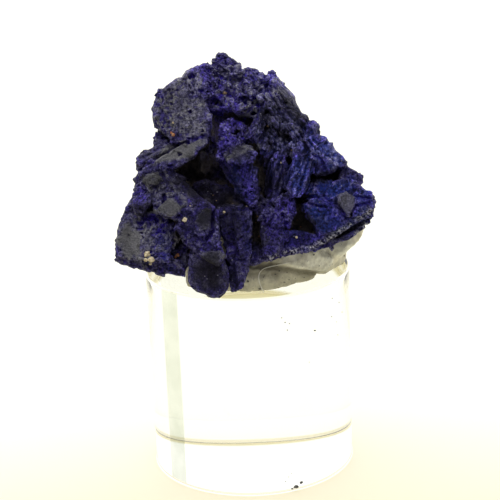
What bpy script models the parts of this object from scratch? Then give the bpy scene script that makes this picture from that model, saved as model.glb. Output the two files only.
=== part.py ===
"""An azurite cluster, thick tabular crystals grown through each other, set with putty on a clear round stand.

Three solids: the clear stand, the putty pressed onto it, and the cluster, which grew as one piece.
Metres, +Z up. The origin is the middle of the stand's underside, and -Y is the side that faces the viewer.
"""

import math
import random

import bmesh
import bpy
from mathutils import Matrix, Vector

MM = 0.001

# The stand: a cut length of clear acrylic rod, as tall as it is wide.
STAND_DIAMETER = 20.0 * MM
STAND_HEIGHT = 20.0 * MM
STAND_EDGE = 0.25 * MM
STAND_SIDES = 64

# The putty: a flattened lump on the stand, lower and thinner on the left.
PUTTY_GAP = 0.05 * MM
PUTTY_CLEARANCE = 0.45 * MM

# The cluster has its own frame: u to the right, v up and w out of its show face, in millimetres.
# That frame leans back on the stand, and hangs a little lower on its left.
CLUSTER_LEAN = math.radians(17.66)
CLUSTER_ROLL = math.radians(-2.18)
CLUSTER_ORIGIN = Vector((0.3, 0.0, 21.4)) * MM
CLUSTER_CLEARANCE = 0.35 * MM

# Directions in the cluster's frame: straight back into the cluster, and level towards the back of the stand.
INTO = Vector((0.0, 0.0, -1.0))
LEVEL = Vector((0.0, math.sin(CLUSTER_LEAN), -math.cos(CLUSTER_LEAN)))

# A crystal's broken front edge, how far it runs back, and how much it narrows and slants on the way.
CHAMFER = 0.16
SLAB_DEPTH = 5.2
SLAB_TAPER = 0.8
SLAB_SKEW = 0.14
KEPT_FACES = 0.74


def clear_scene():
    for obj in list(bpy.data.objects):
        bpy.data.objects.remove(obj)


def new_collection(name):
    collection = bpy.data.collections.new(name)
    bpy.context.scene.collection.children.link(collection)
    return collection


def new_object(name, mesh, collection):
    obj = bpy.data.objects.new(name, mesh)
    collection.objects.link(obj)
    return obj


def object_from(bm, name, collection):
    """A closed mesh object from a bmesh, with its faces pointing out."""
    bmesh.ops.recalc_face_normals(bm, faces=bm.faces)
    mesh = bpy.data.meshes.new(name)
    bm.to_mesh(mesh)
    bm.free()
    return new_object(name, mesh, collection)


def finish(name, colour, roughness, transmission=0.0):
    material = bpy.data.materials.new(name)
    material.use_nodes = True
    shader = material.node_tree.nodes["Principled BSDF"]
    shader.inputs["Base Color"].default_value = (*colour, 1.0)
    shader.inputs["Roughness"].default_value = roughness
    shader.inputs["Metallic"].default_value = 0.0
    shader.inputs["Transmission Weight"].default_value = transmission
    return material


def cluster_frame():
    """The matrix that takes the cluster's own frame to the stand's."""
    lean = Matrix.Rotation(math.pi / 2 - CLUSTER_LEAN, 4, "X")
    roll = Matrix.Rotation(CLUSTER_ROLL, 4, "Z")
    return Matrix.Translation(CLUSTER_ORIGIN) @ lean @ roll


def baked(obj, name, collection):
    """A plain mesh object of what obj's modifiers make. The old object is removed."""
    graph = bpy.context.evaluated_depsgraph_get()
    mesh = bpy.data.meshes.new_from_object(obj.evaluated_get(graph))
    made = new_object(name, mesh, collection)
    made.matrix_world = obj.matrix_world.copy()
    bpy.data.objects.remove(obj)
    return made


class Cluster:
    """The crystals of the cluster, each a closed solid of its own until they are joined."""

    def __init__(self):
        self.crystals = new_collection("crystals")
        self.pits = new_collection("pits")
        self.dice = random.Random(7)

    def slab(self, name, outline, face, lean=(0.0, 0.0), depth=SLAB_DEPTH, towards=INTO, chamfer=CHAMFER):
        """A crystal with a flat front face. outline is the face's corners (u, v), face is w at its middle,
        and lean is how much w grows for each millimetre along u and along v. It narrows as it runs back by depth."""
        middle_u = sum(u for u, v in outline) / len(outline)
        middle_v = sum(v for u, v in outline) / len(outline)
        middle = Vector((middle_u, middle_v, face)) * MM
        skew = Vector((self.dice.uniform(-SLAB_SKEW, SLAB_SKEW), self.dice.uniform(-SLAB_SKEW, SLAB_SKEW), 0.0))
        run = (towards + skew) * depth * MM
        bm = bmesh.new()
        front = []
        for u, v in outline:
            w = face + lean[0] * (u - middle_u) + lean[1] * (v - middle_v)
            front.append(bm.verts.new(Vector((u, v, w)) * MM))
        back = [bm.verts.new(middle + (vert.co - middle) * SLAB_TAPER + run) for vert in front]
        bm.faces.new(front)
        bm.faces.new(back)
        for i in range(len(front)):
            j = (i + 1) % len(front)
            bm.faces.new((front[i], front[j], back[j], back[i]))
        bmesh.ops.recalc_face_normals(bm, faces=bm.faces)
        if chamfer:
            rim = [edge for edge in bm.edges if edge.verts[0] in front and edge.verts[1] in front]
            bmesh.ops.bevel(bm, geom=rim, offset=chamfer * MM, segments=1, affect="EDGES", clamp_overlap=True)
        return object_from(bm, name, self.crystals)

    def prism(self, name, start, end, width, height, sides=6, spin=0.0, taper=0.8):
        """A long crystal from start to end, as (u, v, w), with a flat six-sided section."""
        start, end = Vector(start) * MM, Vector(end) * MM
        along = end - start
        bm = bmesh.new()
        bmesh.ops.create_cone(
            bm,
            cap_ends=True,
            segments=sides,
            radius1=0.5,
            radius2=0.5 * taper,
            depth=1.0,
        )
        turn = along.to_track_quat("Z", "Y").to_matrix().to_4x4()
        size = Matrix.Diagonal((width * MM, height * MM, along.length, 1.0))
        twist = Matrix.Rotation(math.radians(spin), 4, "Z")
        bmesh.ops.transform(bm, verts=bm.verts, matrix=Matrix.Translation((start + end) / 2) @ turn @ twist @ size)
        return object_from(bm, name, self.crystals)

    def plate(self, name, middle, normal, length, width, thickness, spin=0.0):
        """A tabular crystal: a six-sided tablet with a chamfered rim, its broad faces across normal."""
        bm = bmesh.new()
        bmesh.ops.create_cone(bm, cap_ends=True, segments=6, radius1=0.5, radius2=0.5, depth=1.0)
        turn = Vector(normal).to_track_quat("Z", "Y").to_matrix().to_4x4()
        twist = Matrix.Rotation(math.radians(spin), 4, "Z")
        size = Matrix.Diagonal((length * MM, width * MM, thickness * MM, 1.0))
        bmesh.ops.transform(bm, verts=bm.verts, matrix=Matrix.Translation(Vector(middle) * MM) @ turn @ twist @ size)
        rims = [edge for face in bm.faces if len(face.verts) == 6 for edge in face.edges]
        bmesh.ops.bevel(bm, geom=rims, offset=0.16 * thickness * MM, segments=1, affect="EDGES", clamp_overlap=True)
        return object_from(bm, name, self.crystals)

    def grain(self, name, middle, size):
        """A small crystal, a lump with a few flat faces turned at random."""
        bm = bmesh.new()
        stretch = Vector([size / 2 * self.dice.uniform(0.8, 1.35) for _ in range(3)])
        for _ in range(9):
            bm.verts.new((Vector(middle) + self.random_axis() * stretch) * MM)
        bmesh.ops.convex_hull(bm, input=bm.verts)
        bmesh.ops.delete(bm, geom=[vert for vert in bm.verts if not vert.link_faces], context="VERTS")
        return object_from(bm, name, self.crystals)

    def random_axis(self):
        axis = Vector([self.dice.gauss(0, 1) for _ in range(3)])
        return axis.normalized()

    def grains(self, name, start, end, count, size, jitter=0.25):
        """A row of small crystals along the line from start to end."""
        start, end = Vector(start), Vector(end)
        for i in range(count):
            share = (i + 0.5) / count
            shift = Vector([self.dice.uniform(-jitter, jitter) for _ in range(3)])
            self.grain(f"{name}_{i}", start.lerp(end, share) + shift, size * self.dice.uniform(0.75, 1.25))

    def pit(self, name, middle, width, depth, stretch=1.0, spin=0.0):
        """A hollow sunk into the show face around (u, v, w)."""
        bm = bmesh.new()
        bmesh.ops.create_cone(bm, cap_ends=True, segments=5, radius1=0.28, radius2=0.5, depth=1.0)
        size = Matrix.Diagonal((width * stretch * MM, width * MM, 2 * depth * MM, 1.0))
        twist = Matrix.Rotation(math.radians(spin), 4, "Z")
        bmesh.ops.transform(bm, verts=bm.verts, matrix=Matrix.Translation(Vector(middle) * MM) @ twist @ size)
        return object_from(bm, name, self.pits)


def add_core(cluster):
    """The mass that the crystals grew from, a low-faceted lump cut level underneath."""
    # Height above the table, then the reach to the left, right, front and back of the stand's axis.
    rings = (
        (21.3, -8.2, 6.4, -3.2, 5.2),
        (24.0, -9.2, 9.0, -3.4, 6.0),
        (28.0, -8.0, 8.0, -3.4, 6.2),
        (32.0, -6.6, 5.6, -2.8, 5.4),
        (35.2, -6.0, 3.0, -1.8, 4.4),
        (38.4, -4.2, 0.6, 0.0, 2.8),
    )
    to_cluster = cluster_frame().inverted()
    bm = bmesh.new()
    for z, left, right, front, back in rings:
        middle_x, middle_y = (left + right) / 2, (front + back) / 2
        for i in range(8):
            angle = math.tau * (i + 0.5) / 8
            x = middle_x + math.cos(angle) * (right - left) / 2 * 1.06
            y = middle_y + math.sin(angle) * (back - front) / 2 * 1.06
            bm.verts.new(to_cluster @ (Vector((x, y, z)) * MM))
    bmesh.ops.convex_hull(bm, input=bm.verts)
    inside = [vert for vert in bm.verts if not vert.link_faces]
    bmesh.ops.delete(bm, geom=inside, context="VERTS")
    return object_from(bm, "core", cluster.crystals)


def add_upper_left_plates(cluster):
    """The big rounded tablet at the upper left, two thinner ones behind its top, and the ledge under it."""
    cluster.slab(
        "upper_left_tablet",
        [(-8.9, 12.0), (-9.05, 13.1), (-8.8, 14.1), (-8.2, 15.1), (-7.4, 15.6), (-6.6, 16.15), (-5.6, 16.1),
         (-4.6, 15.1), (-3.7, 13.4), (-3.35, 11.6), (-3.7, 10.4), (-5.2, 10.0), (-6.6, 9.7), (-7.6, 10.6), (-8.5, 11.3)],
        face=8.2, lean=(0.22, -0.16), depth=3.2, chamfer=0.3,
    )
    cluster.slab(
        "top_left_tablet",
        [(-6.4, 16.0), (-6.0, 16.6), (-5.5, 17.05), (-4.8, 17.2), (-4.8, 15.6), (-5.6, 15.0)],
        face=7.4, lean=(0.2, -0.4), depth=3.0,
    )
    cluster.slab(
        "top_left_tablet_edge",
        [(-4.95, 17.1), (-4.4, 17.4), (-3.9, 17.45), (-3.3, 17.0), (-3.4, 14.4), (-4.3, 13.8), (-5.2, 15.2)],
        face=8.1, lean=(0.0, -0.3), depth=3.4,
    )
    cluster.slab(
        "pale_ledge",
        [(-8.5, 8.2), (-7.0, 9.3), (-6.2, 9.75), (-5.0, 10.1), (-3.9, 10.5), (-3.8, 9.9), (-4.6, 9.2),
         (-5.2, 8.5), (-5.9, 8.0), (-6.6, 7.6), (-7.3, 7.4), (-8.2, 7.8)],
        face=9.7, lean=(0.05, -0.55), depth=4.6, chamfer=0.12,
    )
    cluster.slab(
        "ledge_backing",
        [(-8.6, 9.8), (-8.5, 12.0), (-7.0, 13.6), (-4.6, 13.4), (-3.6, 10.6), (-5.2, 8.8), (-7.6, 8.6)],
        face=6.2, lean=(0.1, -0.1), depth=5.0, chamfer=0.0,
    )
    cluster.slab(
        "side_sliver",
        [(-8.8, 11.2), (-8.1, 10.8), (-7.6, 10.3), (-8.5, 10.4), (-8.8, 10.8)],
        face=6.6, depth=4.0, chamfer=0.0,
    )


def add_left_prism(cluster):
    """A striated prism that points out to the left under the big tablet, with a ridge along its middle."""
    cluster.slab(
        "left_prism_top",
        [(-10.5, 8.5), (-9.95, 9.05), (-9.0, 9.55), (-8.25, 10.4), (-7.1, 10.4), (-6.2, 10.0), (-6.6, 9.4),
         (-8.4, 8.8), (-10.1, 8.0)],
        face=7.9, lean=(0.1, -0.6), depth=3.6, chamfer=0.12,
    )
    cluster.slab(
        "left_prism_front",
        [(-10.5, 8.35), (-8.4, 9.15), (-6.4, 9.7), (-6.4, 8.3), (-8.0, 7.8), (-9.9, 7.2), (-10.5, 7.6)],
        face=8.0, lean=(0.1, 0.55), depth=3.6, chamfer=0.12,
    )


def add_diagonal_blade(cluster):
    """The long thick blade across the lower left, knobby at its top end and square at its lower one."""
    cluster.slab(
        "blade_front",
        [(-10.0, 7.0), (-9.8, 7.8), (-9.2, 8.4), (-8.6, 8.45), (-7.6, 7.6), (-6.9, 6.2), (-6.2, 4.9),
         (-5.2, 3.8), (-6.1, 3.4), (-6.8, 2.9), (-7.9, 3.0), (-8.6, 3.6), (-9.0, 4.6), (-9.2, 5.4), (-9.6, 6.2)],
        face=10.4, lean=(0.12, -0.22), depth=5.0, chamfer=0.22,
    )
    cluster.slab(
        "blade_flank",
        [(-8.4, 8.3), (-7.2, 7.55), (-6.4, 7.0), (-5.6, 6.1), (-4.9, 5.3), (-4.0, 4.6), (-5.0, 3.6),
         (-6.4, 4.7), (-7.2, 6.0), (-7.9, 7.4)],
        face=10.2, lean=(-0.55, -0.5), depth=5.0, chamfer=0.1,
    )
    cluster.slab(
        "blade_knob",
        [(-9.6, 6.6), (-9.2, 7.0), (-8.4, 7.1), (-8.1, 6.7), (-8.5, 6.0), (-9.2, 5.9)],
        face=10.75, lean=(0.1, -0.2), depth=2.0,
    )
    cluster.slab(
        "blade_flat",
        [(-8.0, 3.3), (-8.3, 4.0), (-7.7, 4.4), (-7.5, 5.2), (-7.0, 5.3), (-6.4, 4.2), (-6.3, 3.5), (-6.8, 3.1)],
        face=11.15, lean=(0.1, -0.2), depth=2.0, chamfer=0.08,
    )
    cluster.slab(
        "blade_tablet",
        [(-6.2, 3.7), (-5.2, 4.3), (-4.6, 4.9), (-3.9, 4.6), (-3.1, 4.1), (-2.8, 3.7), (-2.7, 2.0), (-2.5, 0.4),
         (-2.25, -0.2), (-2.4, -0.8), (-2.9, -1.25), (-3.9, -0.75), (-5.1, 0.1), (-5.9, 0.8), (-6.4, 1.6),
         (-6.75, 2.1), (-6.4, 2.9)],
        face=11.3, lean=(0.02, -0.12), depth=4.5, chamfer=0.25,
    )
    cluster.slab(
        "blade_tablet_step",
        [(-4.7, 3.2), (-3.9, 3.9), (-3.4, 3.8), (-3.4, 2.3), (-3.4, 2.0), (-3.9, 1.3), (-4.3, 1.2),
         (-5.0, 1.7), (-5.0, 2.6)],
        face=11.5, lean=(0.02, -0.1), depth=1.5, chamfer=0.08,
    )
    cluster.slab(
        "blade_tablet_strip",
        [(-3.2, 3.9), (-2.85, 3.6), (-2.8, 1.5), (-2.65, 0.3), (-3.4, 0.3), (-3.6, 1.0), (-3.1, 2.0)],
        face=11.5, lean=(0.0, -0.12), depth=1.5, chamfer=0.08,
    )
    cluster.slab(
        "blade_end",
        [(-3.8, 0.0), (-2.6, 0.1), (-2.2, -0.4), (-2.85, -1.3), (-3.9, -0.75), (-4.5, -0.3)],
        face=11.85, lean=(0.05, 0.0), depth=3.5, chamfer=0.12,
    )


def add_lower_left_block(cluster):
    """The pitted block at the lower left, its underside, its flank, and the small crystals on its shoulder."""
    cluster.slab(
        "lower_left_block",
        [(-12.25, -0.6), (-12.35, 0.6), (-12.0, 1.8), (-11.6, 2.8), (-11.0, 3.3), (-10.0, 3.6), (-8.7, 3.9),
         (-7.6, 3.1), (-6.95, 2.6), (-6.85, 1.6), (-7.15, 0.0), (-7.2, -1.2), (-8.5, -0.9), (-10.2, -0.9)],
        face=9.7, lean=(0.16, -0.18), depth=5.4, towards=LEVEL, chamfer=0.2,
    )
    cluster.slab(
        "lower_left_sole",
        [(-12.35, -0.3), (-10.0, -0.6), (-8.4, -0.5), (-7.2, -0.5), (-5.95, -1.5), (-5.9, -2.4), (-7.0, -2.15),
         (-8.8, -1.95), (-9.8, -1.8), (-11.4, -1.4), (-12.2, -1.0)],
        face=9.2, lean=(0.12, 0.45), depth=5.0, towards=LEVEL, chamfer=0.15,
    )
    cluster.slab(
        "lower_left_flank",
        [(-12.45, 0.9), (-12.1, 2.4), (-11.5, 3.8), (-10.9, 4.9), (-10.4, 5.9), (-9.9, 6.6), (-9.2, 5.6),
         (-9.0, 4.2), (-10.4, 3.0), (-11.2, 2.2), (-11.9, 1.0)],
        face=8.2, lean=(0.55, 0.1), depth=5.0,
    )
    cluster.slab(
        "shoulder_crystal_top",
        [(-10.6, 5.0), (-9.9, 5.35), (-9.1, 5.1), (-8.95, 4.5), (-9.8, 4.3), (-10.5, 4.4)],
        face=10.3, lean=(0.1, -0.7), depth=2.5,
    )
    cluster.slab(
        "shoulder_crystal",
        [(-10.6, 4.55), (-9.8, 4.4), (-9.05, 4.6), (-9.5, 3.7), (-10.1, 3.0), (-10.5, 3.5)],
        face=10.45, lean=(0.15, 0.35), depth=2.5,
    )
    cluster.grains("shoulder_lump", (-9.7, 6.7, 8.4), (-10.4, 5.2, 8.4), 5, 0.95, jitter=0.18)
    cluster.grains("flank_lump", (-10.7, 4.5, 7.4), (-12.0, 0.6, 7.2), 8, 0.9, jitter=0.2)
    cluster.grains("sole_lump", (-11.6, -0.8, 7.8), (-8.4, -1.5, 7.8), 5, 0.8, jitter=0.12)


def add_hanging_tablets(cluster):
    """The smooth dark tablet that hangs in front of the stand's rim, and the small one beside it."""
    cluster.slab(
        "hanging_tablet",
        [(-5.55, -0.4), (-5.65, -2.0), (-5.65, -2.8), (-5.35, -3.4), (-4.85, -3.75), (-4.2, -3.9), (-3.8, -4.15),
         (-3.3, -4.35), (-2.8, -4.3), (-2.25, -3.85), (-1.95, -3.2), (-1.9, -2.2), (-2.2, -1.3), (-2.6, -0.5),
         (-3.6, 0.3), (-4.8, 0.5)],
        face=10.55, lean=(0.0, 0.17), depth=4.5, towards=LEVEL, chamfer=0.3,
    )
    cluster.slab(
        "side_tablet",
        [(-7.1, -0.1), (-6.5, 0.6), (-5.9, 0.9), (-5.7, 0.2), (-5.75, -1.2), (-6.0, -2.1), (-6.6, -1.9), (-7.1, -1.6)],
        face=8.9, lean=(0.1, 0.05), depth=5.0, towards=LEVEL,
    )


def add_middle_columns(cluster):
    """The upright crystals between the hanging tablet and the putty, with a thin lit ledge on top."""
    cluster.slab(
        "column_cap",
        [(-3.0, 4.0), (-2.3, 4.35), (-1.5, 4.3), (-0.9, 4.15), (0.15, 4.05), (0.25, 3.6), (-0.8, 3.4),
         (-1.8, 3.4), (-2.7, 3.3)],
        face=9.0, lean=(0.0, -0.8), depth=5.0, chamfer=0.1,
    )
    cluster.slab(
        "column_left_face",
        [(-2.8, 3.5), (-1.5, 3.6), (-1.1, 2.2), (-1.3, 0.6), (-1.9, 0.2), (-2.4, 1.0), (-2.8, 2.2)],
        face=9.4, lean=(0.3, -0.1), depth=5.0,
    )
    cluster.slab(
        "column_right_face",
        [(-1.6, 3.6), (0.15, 3.7), (0.25, 2.2), (-0.05, 0.6), (-0.3, -0.6), (-0.9, -0.8), (-1.35, 1.0), (-1.3, 2.2)],
        face=9.9, lean=(-0.22, 0.0), depth=5.4,
    )
    cluster.slab(
        "column_foot",
        [(-2.1, 0.4), (-1.2, 0.9), (-0.4, 0.9), (0.15, 0.6), (0.1, -0.6), (-0.2, -1.6), (-1.0, -1.5), (-1.9, -1.2),
         (-2.2, -0.5)],
        face=9.7, lean=(0.12, 0.0), depth=5.0, towards=LEVEL,
    )
    cluster.slab(
        "foot_prism_right",
        [(-1.3, -0.9), (-0.05, -0.9), (-0.25, -2.2), (-0.65, -3.2), (-0.95, -3.6), (-1.2, -2.4)],
        face=9.95, lean=(-0.3, 0.05), depth=4.0, towards=LEVEL,
    )
    cluster.slab(
        "foot_prism_left",
        [(-1.9, -1.4), (-1.15, -1.2), (-0.95, -2.6), (-1.0, -3.6), (-1.55, -3.7), (-1.75, -3.3)],
        face=9.75, lean=(0.35, 0.05), depth=4.0, towards=LEVEL,
    )


def add_cavity(cluster):
    """What shows inside the deep hollow at the middle: a curved tablet edge and a thin plate on the wall."""
    cluster.slab(
        "cavity_tablet",
        [(-5.5, 6.0), (-4.9, 6.5), (-4.1, 6.65), (-3.4, 6.45), (-2.9, 6.15), (-2.2, 6.05), (-1.4, 5.8),
         (-0.9, 5.2), (-0.4, 4.4), (-1.5, 3.9), (-2.8, 3.8), (-3.8, 4.3), (-4.8, 5.2)],
        face=7.6, lean=(-0.05, 0.25), depth=5.0, chamfer=0.22,
    )
    cluster.slab(
        "cavity_plate",
        [(-4.7, 9.4), (-3.9, 9.2), (-3.7, 7.7), (-4.1, 7.2), (-4.7, 7.5)],
        face=6.2, lean=(0.2, 0.1), depth=4.0, chamfer=0.1,
    )
    cluster.slab(
        "cavity_wall",
        [(-8.0, 7.5), (-6.0, 8.5), (-4.0, 9.8), (-2.6, 9.4), (-1.2, 7.8), (-0.6, 5.6), (-3.0, 5.4), (-6.5, 5.8)],
        face=4.6, lean=(0.05, 0.1), depth=4.5, chamfer=0.0,
    )


def add_middle_blades(cluster):
    """Three blades that fan down from the crown to the middle of the cluster, with deep gaps between them."""
    cluster.slab(
        "first_blade_head",
        [(-2.3, 8.5), (-1.3, 9.4), (-0.7, 9.95), (0.2, 9.7), (0.5, 9.0), (0.2, 8.1), (-1.0, 7.9), (-1.9, 8.1)],
        face=9.5, lean=(0.0, -0.6), depth=5.0,
    )
    cluster.slab(
        "first_blade_rim",
        [(-3.15, 8.5), (-3.0, 9.6), (-2.85, 10.6), (-2.6, 11.6), (-2.0, 11.5), (-1.5, 10.7), (-0.9, 10.0),
         (-1.4, 9.0), (-2.2, 8.2)],
        face=9.1, lean=(0.25, -0.15), depth=5.0,
    )
    cluster.slab(
        "first_blade",
        [(-2.3, 8.4), (-1.2, 8.15), (0.1, 8.15), (0.55, 7.6), (0.75, 6.5), (0.75, 5.0), (0.55, 4.2), (0.1, 3.9),
         (-0.3, 4.4), (-0.8, 5.4), (-1.3, 6.3), (-1.8, 7.3)],
        face=9.6, lean=(0.12, -0.05), depth=5.0,
    )
    cluster.slab(
        "first_blade_flank",
        [(-2.95, 8.5), (-2.2, 8.4), (-1.2, 6.4), (-0.2, 4.3), (-1.0, 5.0), (-1.5, 6.0), (-2.3, 7.2)],
        face=8.6, lean=(1.0, 0.3), depth=5.0, chamfer=0.0,
    )
    cluster.slab(
        "second_blade_edge",
        [(1.3, 8.9), (2.2, 8.4), (2.3, 7.0), (2.35, 5.6), (1.9, 4.5), (1.35, 5.2), (1.5, 7.0)],
        face=7.7, lean=(0.35, -0.05), depth=5.0,
    )
    cluster.slab(
        "second_blade",
        [(2.1, 8.5), (3.2, 8.9), (3.7, 7.4), (3.3, 5.8), (2.7, 4.6), (2.15, 4.7), (2.2, 6.8)],
        face=8.6, lean=(0.1, -0.1), depth=5.0,
    )
    cluster.slab(
        "third_blade",
        [(3.8, 9.2), (4.7, 10.2), (5.8, 10.5), (6.3, 10.6), (5.9, 9.0), (5.6, 7.6), (5.3, 6.2), (4.6, 5.1),
         (3.8, 4.9), (3.4, 5.5), (3.7, 6.8), (3.9, 8.0)],
        face=9.7, lean=(-0.1, -0.12), depth=5.0,
    )
    cluster.slab(
        "third_blade_flank",
        [(4.0, 8.4), (3.35, 7.2), (3.2, 6.0), (3.5, 5.4), (4.2, 6.2), (4.3, 7.6)],
        face=9.4, lean=(0.5, -0.1), depth=5.0,
    )
    cluster.slab(
        "gap_floor",
        [(0.2, 9.6), (3.6, 9.6), (4.2, 7.5), (3.6, 4.4), (0.4, 4.0), (0.2, 6.5)],
        face=5.6, lean=(0.0, -0.1), depth=5.0, chamfer=0.0,
    )


def add_lower_middle(cluster):
    """The blue blocks under the blades, round a dark hole, down to the rim that sits in the putty."""
    cluster.slab(
        "front_block",
        [(1.0, 3.8), (1.6, 4.1), (2.3, 4.0), (3.0, 3.4), (3.15, 2.4), (3.25, 1.4), (3.05, 0.3), (2.4, -0.3),
         (1.9, -0.85), (1.3, -0.3), (1.1, 0.8), (0.95, 2.4)],
        face=10.1, lean=(0.05, -0.08), depth=5.4, chamfer=0.22,
    )
    cluster.slab(
        "front_block_shoulder",
        [(2.1, 4.6), (2.9, 5.2), (3.8, 5.4), (4.1, 4.5), (4.0, 3.4), (3.7, 2.2), (3.1, 2.2), (2.7, 3.4)],
        face=9.7, lean=(-0.15, -0.05), depth=5.0,
    )
    cluster.slab(
        "front_block_root",
        [(0.6, 5.2), (1.6, 4.9), (2.6, 5.0), (2.8, 3.9), (1.2, 3.4), (0.4, 3.8)],
        face=8.9, lean=(0.0, -0.3), depth=5.0,
    )
    cluster.slab(
        "right_foot",
        [(3.1, 1.95), (4.2, 1.95), (5.3, 1.8), (6.2, 1.5), (6.4, 1.0), (5.0, 0.4), (3.8, 0.0), (2.8, -0.1), (3.0, 1.0)],
        face=9.5, lean=(-0.05, -0.1), depth=5.4,
    )
    cluster.slab(
        "lower_rim",
        [(1.4, 0.1), (2.6, 0.3), (3.8, 0.4), (5.2, 0.8), (6.6, 1.3), (7.2, 0.9), (5.6, 0.0), (4.0, -0.3),
         (2.7, -0.6), (1.9, -0.95)],
        face=9.6, lean=(-0.1, 0.3), depth=5.0, towards=LEVEL, chamfer=0.12,
    )
    cluster.slab(
        "gap_foot",
        [(-0.1, 0.2), (0.7, 0.3), (1.4, 0.0), (1.9, -0.85), (1.2, -1.0), (0.6, -1.3), (-0.1, -1.4)],
        face=8.9, lean=(0.0, 0.1), depth=5.0, towards=LEVEL,
    )
    cluster.slab(
        "hole_floor",
        [(-0.2, 4.2), (2.0, 4.6), (5.2, 4.4), (6.4, 3.0), (6.0, 1.2), (3.0, 0.4), (0.2, 0.2)],
        face=6.0, lean=(0.0, -0.1), depth=5.4, chamfer=0.0,
    )


def add_right_blocks(cluster):
    """The stepped blocks down the right side, the broad blue tablet, and the layered rim under it."""
    cluster.slab(
        "right_block_top",
        [(6.2, 9.2), (6.4, 10.5), (7.0, 10.3), (7.55, 9.95), (7.65, 9.6), (8.2, 9.1), (8.7, 8.6), (8.9, 8.0),
         (8.2, 7.8), (7.2, 8.4)],
        face=8.7, lean=(-0.2, -0.3), depth=5.0,
    )
    cluster.slab(
        "right_block_front",
        [(6.1, 9.4), (7.2, 8.7), (8.3, 7.9), (7.7, 7.4), (6.9, 7.1), (6.0, 7.0), (5.6, 7.8), (5.8, 8.7)],
        face=9.0, lean=(0.0, 0.15), depth=5.0,
    )
    cluster.slab(
        "right_backing",
        [(5.5, 9.5), (8.2, 8.6), (9.9, 6.8), (9.8, 4.4), (7.4, 3.2), (5.2, 4.6), (4.6, 7.4)],
        face=6.3, lean=(-0.15, -0.15), depth=5.0, chamfer=0.0,
    )
    cluster.slab(
        "right_outer_block",
        [(8.4, 8.1), (9.2, 7.85), (10.1, 7.2), (10.5, 7.05), (10.45, 6.4), (10.2, 5.9), (9.0, 5.9), (8.2, 6.6)],
        face=7.9, lean=(-0.25, -0.25), depth=5.0,
    )
    cluster.slab(
        "right_inner_block",
        [(5.4, 6.4), (6.4, 6.9), (7.6, 6.5), (7.4, 5.4), (6.4, 4.8), (5.2, 4.8)],
        face=8.5, lean=(0.05, -0.25), depth=5.0,
    )
    cluster.slab(
        "blue_tablet",
        [(6.9, 5.6), (7.6, 6.4), (8.8, 6.8), (9.9, 6.5), (10.6, 5.8), (11.5, 5.05), (11.4, 3.7), (10.2, 3.1),
         (8.6, 2.3), (7.3, 1.6), (6.4, 1.2), (5.9, 2.2), (5.3, 3.3), (4.9, 4.3), (5.8, 5.0)],
        face=9.0, lean=(-0.14, -0.16), depth=5.0, chamfer=0.15,
    )
    cluster.slab(
        "blue_tablet_lower_step",
        [(5.0, 4.4), (5.9, 5.0), (6.7, 4.9), (8.0, 4.3), (8.6, 3.5), (9.0, 2.7), (8.2, 2.15), (7.2, 1.6),
         (6.4, 1.25), (5.9, 2.2), (5.3, 3.2)],
        face=9.55, lean=(-0.1, -0.1), depth=2.5, chamfer=0.15,
    )
    cluster.slab(
        "blue_tablet_outer_step",
        [(9.5, 5.3), (10.2, 5.95), (11.0, 5.4), (11.35, 4.9), (11.2, 3.8), (10.2, 3.3), (9.3, 3.1), (9.3, 4.2)],
        face=9.15, lean=(-0.2, -0.12), depth=2.5, chamfer=0.15,
    )
    cluster.slab(
        "grey_chip",
        [(8.0, 5.1), (8.8, 5.35), (9.5, 4.9), (9.3, 4.0), (9.05, 3.1), (8.7, 3.2), (8.35, 4.0)],
        face=9.75, lean=(-0.1, -0.25), depth=2.0, chamfer=0.05,
    )
    cluster.slab(
        "rim_layer_upper",
        [(6.4, 1.5), (7.6, 2.0), (9.6, 3.2), (11.3, 3.8), (11.4, 3.35), (9.8, 2.65), (8.8, 2.0), (7.7, 1.3), (6.8, 0.9)],
        face=9.15, lean=(-0.15, -0.1), depth=5.0, chamfer=0.08,
    )
    cluster.slab(
        "rim_layer_middle",
        [(6.6, 1.4), (9.4, 3.0), (11.2, 3.6), (11.1, 2.7), (10.0, 2.1), (8.6, 1.3), (7.4, 0.8)],
        face=8.1, lean=(-0.15, 0.0), depth=4.5, chamfer=0.0,
    )
    cluster.slab(
        "rim_layer_lower",
        [(5.0, 0.5), (6.5, 0.9), (8.0, 1.15), (9.4, 1.75), (10.5, 2.4), (10.6, 2.15), (9.3, 1.3), (8.0, 0.75),
         (7.0, 0.35), (5.8, 0.0)],
        face=9.0, lean=(-0.15, 0.0), depth=5.0, chamfer=0.06,
    )
    cluster.grain("rim_chip", (7.45, 0.35, 8.6), 0.55)
    cluster.grain("outer_lump", (10.0, 6.6, 7.2), 0.9)
    cluster.grains("tablet_edge_lump", (11.3, 4.9, 7.2), (11.1, 3.4, 7.2), 3, 0.7, jitter=0.12)
    cluster.grains("inner_lump", (5.5, 5.4, 8.8), (7.0, 4.9, 8.9), 4, 0.7)


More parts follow.
